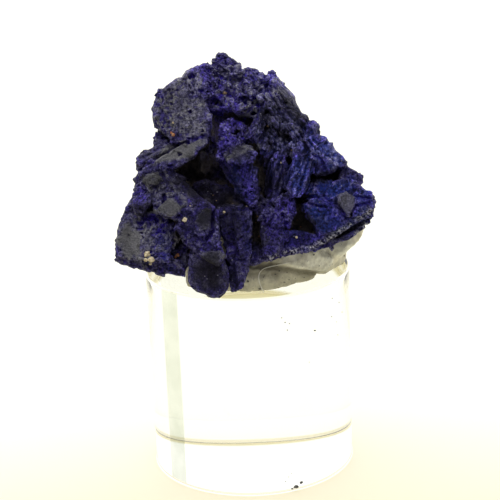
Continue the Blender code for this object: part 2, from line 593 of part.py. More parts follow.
def add_upper_right_ridges(cluster):
    """The rough upper right: ridges that run down the slope, with a smooth bevel along the outer edge."""
    cluster.slab(
        "slope",
        [(0.2, 11.0), (0.8, 13.2), (2.0, 15.0), (3.0, 14.8), (3.9, 13.4), (4.9, 12.2), (5.9, 11.4), (6.2, 10.5),
         (5.0, 9.8), (4.0, 9.0), (2.4, 8.6), (1.0, 9.0)],
        face=7.5, lean=(-0.14, -0.2), depth=5.0, chamfer=0.0,
    )
    cluster.slab(
        "slope_backing",
        [(1.6, 15.2), (2.6, 15.3), (3.8, 13.9), (4.8, 12.7), (5.7, 11.9), (6.3, 10.9), (6.9, 9.9), (6.4, 8.0),
         (4.0, 7.6), (1.6, 9.0)],
        face=6.0, lean=(-0.1, -0.12), depth=4.4, chamfer=0.0,
    )
    cluster.slab(
        "outer_bevel",
        [(2.1, 16.4), (2.5, 16.15), (3.4, 15.2), (4.1, 14.2), (4.65, 13.3), (5.1, 12.5), (4.5, 12.6), (3.5, 13.9),
         (2.4, 15.2)],
        face=6.6, lean=(-0.75, -0.45), depth=3.0, chamfer=0.0,
    )
    ridges = (
        # The lower end, the upper end, the width and how far it stands out of the slope.
        ((0.1, 10.3, 8.4), (1.4, 13.3, 7.7), 1.25, 1.9),
        ((1.2, 9.4, 8.0), (2.6, 12.6, 7.4), 0.95, 1.8),
        ((2.3, 8.8, 8.1), (3.1, 11.6, 7.6), 0.9, 1.7),
        ((3.2, 9.0, 8.1), (4.0, 13.0, 6.9), 0.9, 1.7),
        ((4.0, 9.2, 8.3), (5.0, 12.1, 6.8), 0.9, 1.7),
        ((5.0, 9.8, 8.0), (5.9, 11.6, 6.9), 0.9, 1.5),
        ((1.4, 12.2, 7.6), (2.6, 14.8, 6.6), 1.1, 1.7),
        ((2.5, 12.9, 7.1), (3.4, 14.4, 6.3), 0.9, 1.4),
    )
    for i, (low, high, width, height) in enumerate(ridges):
        cluster.prism(f"ridge_{i}", low, high, width, height, sides=5, spin=36.0 * i, taper=0.9)
    cluster.grains("slope_lump", (0.8, 12.4, 8.1), (4.4, 10.4, 8.1), 9, 1.05, jitter=0.5)
    cluster.grains("edge_lump", (5.2, 12.1, 6.4), (6.2, 10.8, 6.8), 3, 0.8, jitter=0.12)


def add_spongy_crown(cluster):
    """The porous top: a rough mass with small blocks standing on it and deep pits between them."""
    cluster.slab(
        "crown",
        [(-4.0, 13.4), (-3.9, 17.2), (-2.4, 17.9), (-1.0, 17.0), (0.8, 16.7), (2.3, 16.0), (2.6, 14.8), (1.3, 13.2),
         (0.6, 12.4), (-0.6, 12.6), (-1.5, 13.0), (-3.0, 13.2)],
        face=7.6, lean=(-0.05, -0.32), depth=5.0, chamfer=0.25,
    )
    cluster.slab(
        "apex",
        [(-3.55, 17.2), (-3.5, 17.9), (-2.95, 18.5), (-2.4, 18.55), (-1.5, 17.95), (-0.9, 17.5), (-1.0, 16.2),
         (-3.0, 16.0)],
        face=6.6, lean=(0.05, -0.3), depth=2.6, chamfer=0.2,
    )
    cluster.slab(
        "top_right_lump",
        [(-0.7, 16.95), (0.1, 17.25), (0.8, 17.05), (1.5, 16.5), (1.9, 16.7), (2.4, 16.5), (2.6, 15.7), (0.6, 14.8),
         (-0.6, 15.2)],
        face=7.0, lean=(-0.1, -0.35), depth=2.8, chamfer=0.2,
    )
    cluster.slab(
        "cleft_floor",
        [(-3.6, 13.6), (-1.0, 13.4), (0.6, 12.6), (0.4, 10.6), (-1.4, 9.6), (-2.8, 9.4), (-3.6, 10.4)],
        face=6.3, lean=(0.0, -0.1), depth=5.0, chamfer=0.0,
    )
    cluster.grains("crown_lump_high", (-3.3, 17.1, 7.0), (1.9, 15.8, 7.2), 11, 1.15, jitter=0.3)
    cluster.grains("crown_lump_mid", (-3.4, 15.4, 7.9), (1.6, 14.2, 7.9), 10, 1.15, jitter=0.4)
    cluster.grains("crown_lump_low", (-3.2, 13.4, 8.4), (0.9, 13.1, 8.3), 8, 1.1, jitter=0.3)
    cluster.grains("cleft_lump", (-2.2, 11.9, 7.4), (-0.4, 10.6, 7.6), 6, 1.2, jitter=0.4)
    cluster.grain("cleft_knob", (-1.65, 12.0, 7.3), 1.1)


def add_back_tablets(cluster):
    """The sides and back: tablets of the same habit set edge-on and face-on round the core, in five tiers."""
    to_cluster = cluster_frame().inverted()
    turn_only = to_cluster.to_3x3()
    tiers = (
        # Height, the reach of the tablets' middles to the left, the right and the back, how many, and their length.
        (24.0, -9.0, 8.4, 6.6, 9, 6.2),
        (27.6, -7.9, 7.1, 7.0, 9, 6.6),
        (31.4, -6.1, 4.2, 6.3, 8, 6.0),
        (34.6, -5.5, 1.7, 5.0, 7, 5.2),
        (37.2, -3.7, -0.2, 3.2, 4, 4.0),
    )
    for tier, (height, left, right, back, count, length) in enumerate(tiers):
        for i in range(count):
            # Angles run from the right side round the back to the left one.
            angle = math.radians(-4 + 188 * (i + 0.5 * (tier % 2)) / (count - 0.5))
            out = Vector((math.cos(angle), math.sin(angle), cluster.dice.uniform(-0.15, 0.25)))
            x = (left + right) / 2 + (right - left) / 2 * math.cos(angle)
            y = -0.6 + (back + 0.6) * math.sin(angle)
            z = height + cluster.dice.uniform(-0.6, 0.6)
            across = out.cross(cluster.random_axis()).normalized()
            faces_out = i % 3 == tier % 3
            normal = (out + 0.5 * across if faces_out else across + 0.45 * out).normalized()
            size = length * cluster.dice.uniform(0.8, 1.08)
            cluster.plate(
                f"back_tablet_{tier}_{i}",
                (to_cluster @ (Vector((x, y, z)) * MM)) / MM,
                turn_only @ normal,
                size,
                size * cluster.dice.uniform(0.62, 0.85),
                cluster.dice.uniform(1.5, 2.4),
                spin=cluster.dice.uniform(0, 60),
            )


def sink_pits(cluster):
    """The deep holes of the crown and the cleft beside the big tablet."""
    holes = (
        # Middle (u, v, w), width, depth, stretch along u and turn.
        ((-3.1, 13.65, 8.4), 0.95, 1.9, 1.25, 20),
        ((-2.3, 12.55, 8.6), 1.0, 1.6, 1.5, -30),
        ((-0.55, 13.8, 8.3), 0.6, 1.3, 1.0, 40),
        ((0.3, 14.2, 8.1), 0.45, 1.1, 1.2, 10),
        ((0.35, 12.75, 8.4), 0.6, 1.2, 1.5, -10),
        ((-0.7, 12.1, 8.6), 0.9, 1.6, 1.3, 35),
        ((0.9, 15.9, 7.4), 0.5, 1.0, 1.5, 25),
        ((-1.1, 16.5, 7.3), 0.4, 0.9, 1.0, 0),
        ((-2.8, 16.1, 7.4), 0.45, 1.0, 1.3, 50),
        ((-2.5, 15.1, 7.8), 0.45, 1.0, 1.0, 0),
        ((-3.9, 14.7, 8.2), 0.4, 0.8, 1.2, 0),
        ((-1.6, 14.6, 7.8), 0.4, 0.9, 1.0, 30),
        ((3.5, 10.6, 8.2), 0.9, 1.5, 0.8, 15),
        ((1.5, 12.8, 8.2), 0.7, 1.3, 1.0, 0),
        ((3.4, 13.9, 7.2), 0.6, 1.1, 1.2, -40),
        ((2.4, 12.1, 8.0), 0.5, 1.2, 1.0, 20),
        ((1.9, 9.9, 8.6), 0.6, 1.2, 1.3, 60),
        ((-5.4, 10.3, 9.2), 0.4, 0.7, 2.0, 30),
        ((-6.4, 12.4, 8.9), 0.4, 0.7, 2.4, 50),
        ((-9.0, 3.15, 11.0), 0.45, 1.6, 2.2, 30),
        ((-10.1, 2.1, 10.2), 0.4, 0.8, 0.8, 20),
        ((-8.45, 4.05, 11.0), 0.45, 0.9, 1.0, 0),
        ((2.95, 3.4, 10.6), 0.5, 1.0, 1.2, 0),
        ((4.9, 2.9, 9.6), 1.5, 2.4, 1.2, 30),
    )
    for i, (middle, width, depth, stretch, spin) in enumerate(holes):
        cluster.pit(f"pit_{i}", middle, width, depth, stretch, spin)


def trim_underside(cluster):
    """Takes off whatever would reach down into the stand's top."""
    bm = bmesh.new()
    reach = STAND_DIAMETER / 2 + CLUSTER_CLEARANCE
    bmesh.ops.create_cone(bm, cap_ends=True, segments=48, radius1=reach, radius2=reach, depth=10 * MM)
    middle = Vector((0.0, 0.0, STAND_HEIGHT + CLUSTER_CLEARANCE - 5 * MM))
    bmesh.ops.transform(bm, verts=bm.verts, matrix=cluster_frame().inverted() @ Matrix.Translation(middle))
    return object_from(bm, "underside", cluster.pits)


def keep_outer_shell(obj):
    """Leaves the one outer surface of a joined solid: what closed off inside it is filled."""
    bm = bmesh.new()
    bm.from_mesh(obj.data)
    unseen = set(bm.faces)
    shells = []
    while unseen:
        queue = [unseen.pop()]
        shell = list(queue)
        while queue:
            for edge in queue.pop().edges:
                for face in edge.link_faces:
                    if face in unseen:
                        unseen.remove(face)
                        queue.append(face)
                        shell.append(face)
        shells.append(shell)
    largest = max(shells, key=lambda shell: sum(face.calc_area() for face in shell))
    for shell in shells:
        if shell is not largest:
            bmesh.ops.delete(bm, geom=shell, context="FACES")
    bmesh.ops.triangulate(bm, faces=bm.faces)
    bm.to_mesh(obj.data)
    bm.free()


def join_cluster(cluster, collection):
    """All the crystals as one solid with its pits sunk, in its place on the stand."""
    start = cluster.crystals.objects["core"]
    cluster.crystals.objects.unlink(start)
    collection.objects.link(start)
    union = start.modifiers.new("crystals", "BOOLEAN")
    union.operation, union.operand_type, union.collection = "UNION", "COLLECTION", cluster.crystals
    sink = start.modifiers.new("pits", "BOOLEAN")
    sink.operation, sink.operand_type, sink.collection = "DIFFERENCE", "COLLECTION", cluster.pits
    # The joins leave needless slivers, which this clears without touching the crystals' shapes.
    tidy = start.modifiers.new("tidy", "DECIMATE")
    tidy.ratio = KEPT_FACES
    joined = baked(start, "azurite_cluster", collection)
    keep_outer_shell(joined)
    for helper in (cluster.crystals, cluster.pits):
        for obj in list(helper.objects):
            bpy.data.objects.remove(obj)
        bpy.data.collections.remove(helper)
    joined.matrix_world = cluster_frame()
    return joined


def add_stand(collection):
    """The clear rod: sawn square, with its two edges just broken."""
    bm = bmesh.new()
    radius = STAND_DIAMETER / 2
    bmesh.ops.create_cone(
        bm, cap_ends=True, segments=STAND_SIDES, radius1=radius, radius2=radius, depth=STAND_HEIGHT
    )
    rims = [edge for face in bm.faces if len(face.verts) > 4 for edge in face.edges]
    bmesh.ops.bevel(bm, geom=rims, offset=STAND_EDGE, segments=1, affect="EDGES")
    stand = object_from(bm, "acrylic_stand", collection)
    stand.location.z = STAND_HEIGHT / 2
    stand.data.shade_smooth()
    stand.data.set_sharp_from_angle(angle=math.radians(35))
    return stand


def add_putty(collection, cluster_object):
    """The putty: squeezed out to the stand's edge on the right, with a tongue of it up under the overhanging rim."""
    layers = (
        # Height above the stand's top, then how far the edge lies from the stand's axis at each twelfth of a turn,
        # from the right side round by the back.
        (-1.2, (10.3, 10.0, 9.3, 8.9, 8.8, 8.8, 9.2, 9.3, 7.8, 8.35, 7.9, 8.15)),
        (0.3, (10.3, 10.0, 9.3, 8.9, 8.8, 8.8, 9.2, 9.3, 7.8, 8.35, 7.9, 8.15)),
        (1.4, (10.3, 10.0, 9.5, 9.1, 9.0, 8.8, 8.9, 8.9, 8.0, 8.5, 8.3, 8.7)),
        (2.6, (10.25, 9.7, 9.0, 8.7, 8.6, 8.3, 8.2, 8.1, 7.8, 8.3, 8.6, 9.1)),
        (3.9, (9.8, 8.8, 8.0, 7.7, 7.4, 7.1, 6.9, 6.7, 6.8, 7.4, 8.0, 8.9)),
        (4.7, (8.9, 7.6, 6.6, 6.2, 5.9, 5.6, 5.4, 5.3, 5.6, 6.2, 7.0, 8.0)),
    )
    # Rounding the lump off draws its corners in.
    spread = 1.03
    floor = STAND_HEIGHT + PUTTY_GAP
    bm = bmesh.new()
    rings = []
    for height, reaches in layers:
        ring = []
        for i, reach in enumerate(reaches):
            angle = math.tau * i / len(reaches)
            # The lump is lower on the left.
            droop = 1.0 - 0.22 * max(0.0, -math.cos(angle))
            z = STAND_HEIGHT + height * droop * MM
            out = reach * spread * MM
            ring.append(bm.verts.new((out * math.cos(angle), out * math.sin(angle), z)))
        rings.append(ring)
    for low, high in zip(rings, rings[1:]):
        for i in range(len(low)):
            j = (i + 1) % len(low)
            bm.faces.new((low[i], low[j], high[j], high[i]))
    bm.faces.new(list(reversed(rings[0])))
    bm.faces.new(rings[-1])
    lump = object_from(bm, "mounting_putty", collection)
    round_off = lump.modifiers.new("round off", "SUBSURF")
    round_off.levels = round_off.render_levels = 1
    lump = baked(lump, "mounting_putty", collection)

    # The tongue under the rim, and a block that takes off everything below the stand's top.
    bm = bmesh.new()
    bmesh.ops.create_icosphere(bm, subdivisions=2, radius=1.0)
    along = Matrix.Rotation(math.radians(-44), 4, "Y")
    size = Matrix.Diagonal((2.5 * MM, 1.9 * MM, 1.0 * MM, 1.0))
    bmesh.ops.transform(bm, verts=bm.verts, matrix=Matrix.Translation(Vector((9.5, -2.2, 22.9)) * MM) @ along @ size)
    tongue = object_from(bm, "tongue", collection)
    bm = bmesh.new()
    bmesh.ops.create_cube(bm, size=30.0 * MM)
    bmesh.ops.translate(bm, verts=bm.verts, vec=(0.0, 0.0, floor - 15.0 * MM))
    below = object_from(bm, "below", collection)

    seat = new_object("seat", cluster_object.data.copy(), collection)
    seat.matrix_world = cluster_object.matrix_world.copy()
    coarse = seat.modifiers.new("coarse", "REMESH")
    coarse.mode, coarse.voxel_size = "VOXEL", 0.3 * MM
    fewer = seat.modifiers.new("fewer", "DECIMATE")
    fewer.ratio = 0.06
    grow = seat.modifiers.new("grow", "DISPLACE")
    grow.strength, grow.mid_level = PUTTY_CLEARANCE, 0.0
    seat = baked(seat, "seat", collection)

    for step, operation, other in (("tongue", "UNION", tongue), ("press", "DIFFERENCE", seat), ("level", "DIFFERENCE", below)):
        cut = lump.modifiers.new(step, "BOOLEAN")
        cut.operation, cut.object, cut.solver = operation, other, "MANIFOLD"
    pressed = baked(lump, "mounting_putty", collection)
    for helper in (tongue, seat, below):
        bpy.data.objects.remove(helper)
    keep_outer_shell(pressed)
    return pressed


def main():
    clear_scene()
    specimen = new_collection("azurite_specimen")
    cluster = Cluster()
    add_core(cluster)
    add_upper_left_plates(cluster)
    add_left_prism(cluster)
    add_diagonal_blade(cluster)
    add_lower_left_block(cluster)
    add_hanging_tablets(cluster)
    add_middle_columns(cluster)
    add_cavity(cluster)
    add_middle_blades(cluster)
    add_lower_middle(cluster)
    add_right_blocks(cluster)
    add_upper_right_ridges(cluster)
    add_spongy_crown(cluster)
    add_back_tablets(cluster)
    sink_pits(cluster)
    trim_underside(cluster)
    azurite = join_cluster(cluster, specimen)
    bpy.context.view_layer.update()
    stand = add_stand(specimen)
    putty = add_putty(specimen, azurite)
    azurite.data.materials.clear()
    azurite.data.materials.append(finish("azurite", (0.03, 0.02, 0.16), 0.45))
    stand.data.materials.append(finish("clear_acrylic", (0.97, 0.98, 0.98), 0.02, transmission=1.0))
    putty.data.materials.clear()
    putty.data.materials.append(finish("putty", (0.78, 0.74, 0.62), 0.75))


main()
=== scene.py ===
import math

import bmesh
import bpy
import numpy as np
from mathutils import Matrix, Vector, noise
from mathutils.bvhtree import BVHTree
from mathutils.kdtree import KDTree


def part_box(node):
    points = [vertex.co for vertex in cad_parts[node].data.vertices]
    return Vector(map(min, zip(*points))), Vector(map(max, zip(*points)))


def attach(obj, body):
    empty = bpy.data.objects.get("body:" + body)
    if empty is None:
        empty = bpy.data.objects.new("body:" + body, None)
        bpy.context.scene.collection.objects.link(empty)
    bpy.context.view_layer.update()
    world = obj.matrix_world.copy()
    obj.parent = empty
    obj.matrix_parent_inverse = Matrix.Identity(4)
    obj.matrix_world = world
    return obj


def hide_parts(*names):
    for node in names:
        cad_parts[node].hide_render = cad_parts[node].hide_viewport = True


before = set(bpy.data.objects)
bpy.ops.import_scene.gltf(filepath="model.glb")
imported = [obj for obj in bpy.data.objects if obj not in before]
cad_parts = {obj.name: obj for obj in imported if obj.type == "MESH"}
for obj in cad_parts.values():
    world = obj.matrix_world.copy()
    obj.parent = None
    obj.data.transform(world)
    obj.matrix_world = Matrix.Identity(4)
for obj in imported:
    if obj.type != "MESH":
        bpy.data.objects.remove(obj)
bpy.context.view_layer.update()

# Dresses the azurite cluster, its putty and its clear stand, and adds the grains, lint and dust that lie on
# them. Lengths are millimetres unless a line says otherwise, and every finished mesh is back in metres.

# ---------------------------------------------------------------------------
# Azurite cluster. Thick tabular crystals of a soft, deep blue copper mineral, grown through each other.
# The flat faces and what stands out are painted grey for the sheen of the bright tent on them, the broken edges and
# the porous crown are sugary and more violet, and it is held only by the putty that it was pressed into.

MM = 0.001
CLUSTER_LEAN = math.radians(17.66)
CLUSTER_ROLL = math.radians(-2.18)
CLUSTER_ORIGIN = Vector((0.3, 0.0, 21.4))
FINEST_GRAIN = 0.1
CLUSTER_TRIANGLES = 196000

# The cluster is worked on lying flat: u to the right, v up and w out of its show face.
stand_it_up = (
    Matrix.Scale(MM, 4)
    @ Matrix.Translation(CLUSTER_ORIGIN)
    @ Matrix.Rotation(math.pi / 2 - CLUSTER_LEAN, 4, "X")
    @ Matrix.Rotation(CLUSTER_ROLL, 4, "Z")
)
lay_it_flat = stand_it_up.inverted()


def only(piece):
    """Selects one piece and nothing else."""
    for other in bpy.context.selected_objects:
        other.select_set(False)
    piece.select_set(True)
    bpy.context.view_layer.objects.active = piece


def added(name, data):
    """A new object in the scene."""
    made = bpy.data.objects.new(name, data)
    bpy.context.scene.collection.objects.link(made)
    return made


def copy_of(solid, name):
    """A new piece with the shape of a solid of the frame, its loose triangles merged."""
    piece = added(name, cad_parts[solid].data.copy())
    piece.data.materials.clear()
    only(piece)
    bpy.ops.object.mode_set(mode="EDIT")
    bpy.ops.mesh.select_all(action="SELECT")
    bpy.ops.mesh.remove_doubles(threshold=1e-7)
    bpy.ops.object.mode_set(mode="OBJECT")
    return piece


def applied(piece, kind, **settings):
    """Puts a modifier on a piece and applies it."""
    only(piece)
    modifier = piece.modifiers.new(kind.lower(), kind)
    for setting, value in settings.items():
        setattr(modifier, setting, value)
    bpy.ops.object.modifier_apply(modifier=modifier.name)


def vectors_of(piece, field):
    """The vertices' places ("co") or normals ("normal"), one row each."""
    values = np.empty(len(piece.data.vertices) * 3)
    piece.data.vertices.foreach_get(field, values)
    return values.reshape(-1, 3)


def move_points(piece, points):
    """Puts the vertices at new places."""
    piece.data.vertices.foreach_set("co", points.ravel())
    piece.data.update()


def eased(piece, values, rounds):
    """values with each vertex's evened out with its neighbours', the given number of times over."""
    edges = np.empty(len(piece.data.edges) * 2, np.int64)
    piece.data.edges.foreach_get("vertices", edges)
    edges = edges.reshape(-1, 2)
    here, there = np.concatenate([edges[:, 0], edges[:, 1]]), np.concatenate([edges[:, 1], edges[:, 0]])
    neighbours = np.maximum(np.bincount(here, minlength=len(values)), 1)
    values = values.copy()
    for _ in range(rounds):
        for column in range(values.shape[1]):
            total = np.bincount(here, weights=values[there, column], minlength=len(values))
            values[:, column] = 0.5 * values[:, column] + 0.5 * total / neighbours
    return values


def swell(piece, rounds):
    """How far each vertex stands proud of its surroundings: above 0 on edges and below 0 in hollows."""
    points = vectors_of(piece, "co")
    return np.einsum("ij,ij->i", points - eased(piece, points, rounds), vectors_of(piece, "normal"))


def give(piece, name, values):
    """Stores one number for each vertex, which the piece's material reads."""
    layer = piece.data.attributes.new(name, "FLOAT", "POINT")
    layer.data.foreach_set("value", values.astype(np.float32))


def uneven(points, size, seed):
    """A smooth random number, about -0.7 to 0.7, for each point: bumps of the given size."""
    shift = Vector((seed * 11.3, seed * 4.7, seed * 8.9))
    return np.array([noise.noise(point) for point in map(Vector, points / size + np.array(shift))])


def crumbs(points, size, seed):
    """For each point, how far it is from the border of its crumb, in sizes, and the crumb's own number, 0 to 1."""
    shift = np.array((seed * 7.3, seed * 3.1, seed * 5.7))
    inside, own = np.empty(len(points)), np.empty(len(points))
    for i, point in enumerate(map(Vector, points / size + shift)):
        distances, middles = noise.voronoi(point)
        inside[i] = distances[1] - distances[0]
        own[i] = noise.cell(middles[0] * 91.7)
    return inside, own


def patches(points, wander, spots):
    """How strongly each point lies in some patches of the show face: 1 inside them, fading over a ragged rim."""
    strongest = np.zeros(len(points))
    for u, v, half_width, half_height, turn, strength in spots:
        c, s = math.cos(math.radians(turn)), math.sin(math.radians(turn))
        along = (points[:, 0] - u) * c + (points[:, 1] - v) * s
        across = (points[:, 1] - v) * c - (points[:, 0] - u) * s
        reach = np.hypot(along / half_width, across / half_height) + wander
        strongest = np.maximum(strongest, strength * np.clip((1.15 - reach) / 0.3, 0, 1))
    return strongest


def nearness(points, path, reach):
    """1 on a path across the show face, falling off to 0 away from it."""
    nearest = np.full(len(points), 99.0)
    for (u0, v0), (u1, v1) in zip(path, path[1:]):
        run = np.array((u1 - u0, v1 - v0))
        t = np.clip(((points[:, :2] - (u0, v0)) @ run) / (run @ run), 0, 1)
        nearest = np.minimum(nearest, np.linalg.norm(points[:, :2] - (u0, v0) - t[:, None] * run, axis=1))
    return np.exp(-((nearest / reach) ** 2))


# Patches of the show face: (u, v, half width, half height, turn in degrees, strength).
SPONGY = (
    (-0.6, 15.4, 3.6, 3.0, 0, 1.0),
    (-1.2, 11.6, 1.6, 2.2, 0, 1.0),
    (1.9, 14.4, 1.6, 1.6, 0, 0.8),
    (-8.8, 3.0, 1.8, 1.0, -20, 0.9),
    (-8.0, 0.9, 1.4, 2.2, 0, 0.7),
    (-8.2, 12.4, 1.0, 2.6, 0, 0.7),
    (-5.0, 10.3, 0.9, 0.5, 0, 0.9),
    (-9.6, 6.0, 1.2, 1.6, -20, 0.5),
    (3.0, 3.4, 1.4, 1.4, 0, 0.6),
)
SUGARY = (
    (2.6, 6.0, 2.6, 3.6, 0, 0.3),
    (-2.2, 10.4, 1.0, 2.0, -20, 0.9),
    (5.6, 4.0, 1.4, 1.2, 0, 0.6),
    (3.4, 0.6, 2.6, 1.4, 0, 0.5),
    (1.8, 2.0, 1.4, 2.4, 0, 0.6),
    (-1.0, 1.6, 1.6, 3.0, 0, 0.4),
    (6.2, 7.6, 2.0, 2.0, 0, 0.5),
    (-8.6, 6.0, 2.4, 2.2, -20, 0.5),
    (-5.6, 1.8, 1.6, 2.2, 20, 0.4),
    (-10.0, -1.0, 2.6, 0.8, -10, 0.6),
    (-8.6, 13.4, 1.4, 3.6, 0, 0.5),
    (-5.0, 16.2, 2.0, 1.2, 0, 0.5),
)
SMOOTH_FACES = (
    (-9.9, 4.3, 0.8, 0.8, 0, 0.7),
    (-9.0, 8.9, 2.0, 1.0, 27, 0.6),
    (2.2, 1.4, 1.2, 1.2, 0, 0.3),
    (-11.0, 0.9, 0.9, 1.3, 0, 1.0),
    (-7.3, 4.1, 1.0, 0.9, 0, 1.0),
    (-8.9, 6.5, 0.8, 0.55, 0, 0.9),
    (-6.4, 9.2, 2.3, 0.7, 25, 0.8),
    (-4.0, 2.8, 0.8, 1.2, 10, 1.0),
    (-3.8, -2.4, 1.9, 2.0, 0, 1.0),
    (-0.9, 9.2, 0.8, 0.5, 0, 0.4),
    (8.8, 4.3, 0.6, 0.9, 0, 1.0),
    (-9.9, 3.7, 0.9, 0.8, 0, 1.0),
    (-6.5, -0.7, 0.6, 0.6, 0, 0.9),
    (3.6, 14.2, 2.0, 0.6, -50, 0.6),
    (-3.0, 5.2, 2.2, 0.9, 0, 0.8),
    (-2.0, 2.6, 0.7, 0.8, 0, 0.6),
)
# Patches of painted sheen: grey is painted where flat faces would reflect the bright tent.
SHEEN_PATCHES = (
    (-4.9, 12.4, 1.3, 2.0, 0, 0.52),
    (-6.8, 13.2, 2.0, 2.4, 0, 0.56),
    (-5.6, 15.6, 1.6, 1.4, 0, 0.34),
    (-6.4, 9.2, 2.4, 0.8, 25, 1.0),
    (-8.6, 9.3, 1.4, 0.6, 25, 0.2),
    (-11.0, 0.9, 1.1, 1.5, 0, 1.0),
    (-9.4, 1.4, 2.4, 2.4, 0, 0.5),
    (-8.8, 3.5, 0.6, 0.4, 0, 1.0),
    (-7.3, 4.1, 1.0, 0.9, 0, 0.9),
    (-8.9, 6.5, 0.8, 0.55, 0, 0.9),
    (-8.0, 5.6, 1.6, 1.4, 0, 0.4),
    (-0.4, 15.6, 2.8, 2.2, 0, 0.36),
    (2.2, 14.6, 1.6, 1.6, 0, 0.5),
    (-0.2, 12.8, 1.0, 0.8, 0, 0.6),
    (-0.8, 9.3, 0.8, 0.55, 20, 0.9),
    (-1.7, 8.8, 0.6, 0.4, 0, 0.8),
    (0.4, 9.6, 0.9, 0.3, 20, 0.6),
    (2.8, 11.4, 2.0, 2.4, 20, 0.35),
    (3.6, 14.2, 2.2, 0.7, -50, 0.6),
    (7.2, 9.0, 1.5, 1.0, 0, 0.3),
    (8.8, 4.3, 0.7, 1.0, 0, 0.8),
    (-3.4, -0.4, 1.0, 0.6, 0, 0.5),
    (-4.0, 2.8, 0.8, 1.2, 10, 0.4),
    (-6.2, 5.4, 1.8, 0.5, -50, 0.4),
)
AZURE = (
    (8.0, 3.8, 3.8, 2.6, -10, 1.0),
    (7.2, 9.0, 2.0, 1.8, 0, 0.9),
    (4.6, 7.0, 1.4, 2.6, 0, 0.8),
    (4.4, 13.0, 1.2, 3.4, 30, 0.7),
    (2.8, 11.4, 2.2, 2.6, 20, 0.8),
    (-0.6, 6.2, 1.2, 2.0, 0, 0.8),
    (4.4, 1.2, 2.0, 1.2, 0, 0.8),
    (-7.6, 0.6, 0.9, 1.8, 0, 0.6),
    (1.6, 8.0, 1.4, 2.6, 0, 0.5),
    (1.2, 15.4, 1.0, 1.4, 0, 0.4),
    (0.0, 1.6, 0.8, 1.8, 0, 0.4),
)
# Patches of painted shade: recesses and plates turned from the light are painted near black.
SHADED_PATCHES = (
    (-4.8, 6.8, 2.2, 1.7, 0, 1.0),
    (-3.0, 4.9, 2.4, 1.2, 0, 0.9),
    (2.8, 12.3, 1.8, 1.8, 0, 0.7),
    (2.2, 9.6, 1.4, 1.8, 0, 0.35),
    (3.1, 10.8, 0.8, 0.55, -20, 1.0),
    (1.6, 12.7, 0.8, 0.6, 20, 0.9),
    (3.4, 13.2, 0.7, 0.5, -40, 0.9),
    (4.6, 12.3, 0.5, 0.6, 0, 0.8),
    (1.7, 10.0, 0.4, 0.6, 0, 0.9),
    (3.4, 9.2, 0.4, 0.8, 0, 0.8),
    (1.2, 5.2, 0.5, 1.4, 0, 0.8),
    (1.4, 6.8, 0.6, 2.4, 0, 0.8),
    (4.9, 2.7, 1.1, 0.8, 0, 1.0),
    (-4.0, 2.8, 0.8, 1.2, 10, 0.6),
    (-3.8, -1.9, 1.4, 1.6, 0, 0.9),
    (2.8, 6.4, 1.0, 1.6, 0, 0.4),
    (-9.9, 3.7, 0.9, 0.8, 0, 0.5),
    (7.0, 6.9, 1.8, 0.5, 15, 0.9),
    (0.8, 1.8, 0.6, 1.8, 0, 0.8),
    (-6.6, 0.9, 0.5, 1.0, 0, 0.8),
    (8.6, 1.6, 2.6, 0.4, 20, 0.7),
)
# Painted light: faces that the light favours are painted paler.
PAINTED_LIGHT_PATCHES = (
    (-8.6, 9.2, 1.2, 0.8, 25, 0.4),
    (-4.9, 12.2, 1.3, 1.7, 0, 0.4),
    (-1.1, 9.1, 0.8, 0.5, 0, 0.3),
    (-8.9, 6.5, 0.6, 0.5, 0, 0.15),
    (3.6, 14.2, 0.7, 0.6, 0, 0.5),
    (-5.4, 15.6, 1.6, 1.4, 0, 0.4),
    (-0.4, 15.6, 2.8, 2.2, 0, 0.36),
    (2.0, 14.4, 1.8, 1.8, 0, 0.25),
    (2.8, 12.0, 1.8, 2.2, 20, 0.5),
    (2.6, 9.8, 1.6, 1.6, 0, 0.7),
    (7.2, 9.2, 1.8, 1.2, 0, 1.0),
    (-9.3, 1.4, 1.5, 1.6, 0, 0.3),
    (7.4, 4.8, 3.0, 2.2, -10, 0.35),
    (10.2, 5.0, 1.4, 1.2, 0, 0.4),
    (-1.4, 11.8, 1.2, 1.4, 0, 0.6),
    (4.6, 7.0, 1.0, 1.6, 0, 0.4),
    (-9.4, -1.2, 2.4, 0.7, -8, 0.15),
)
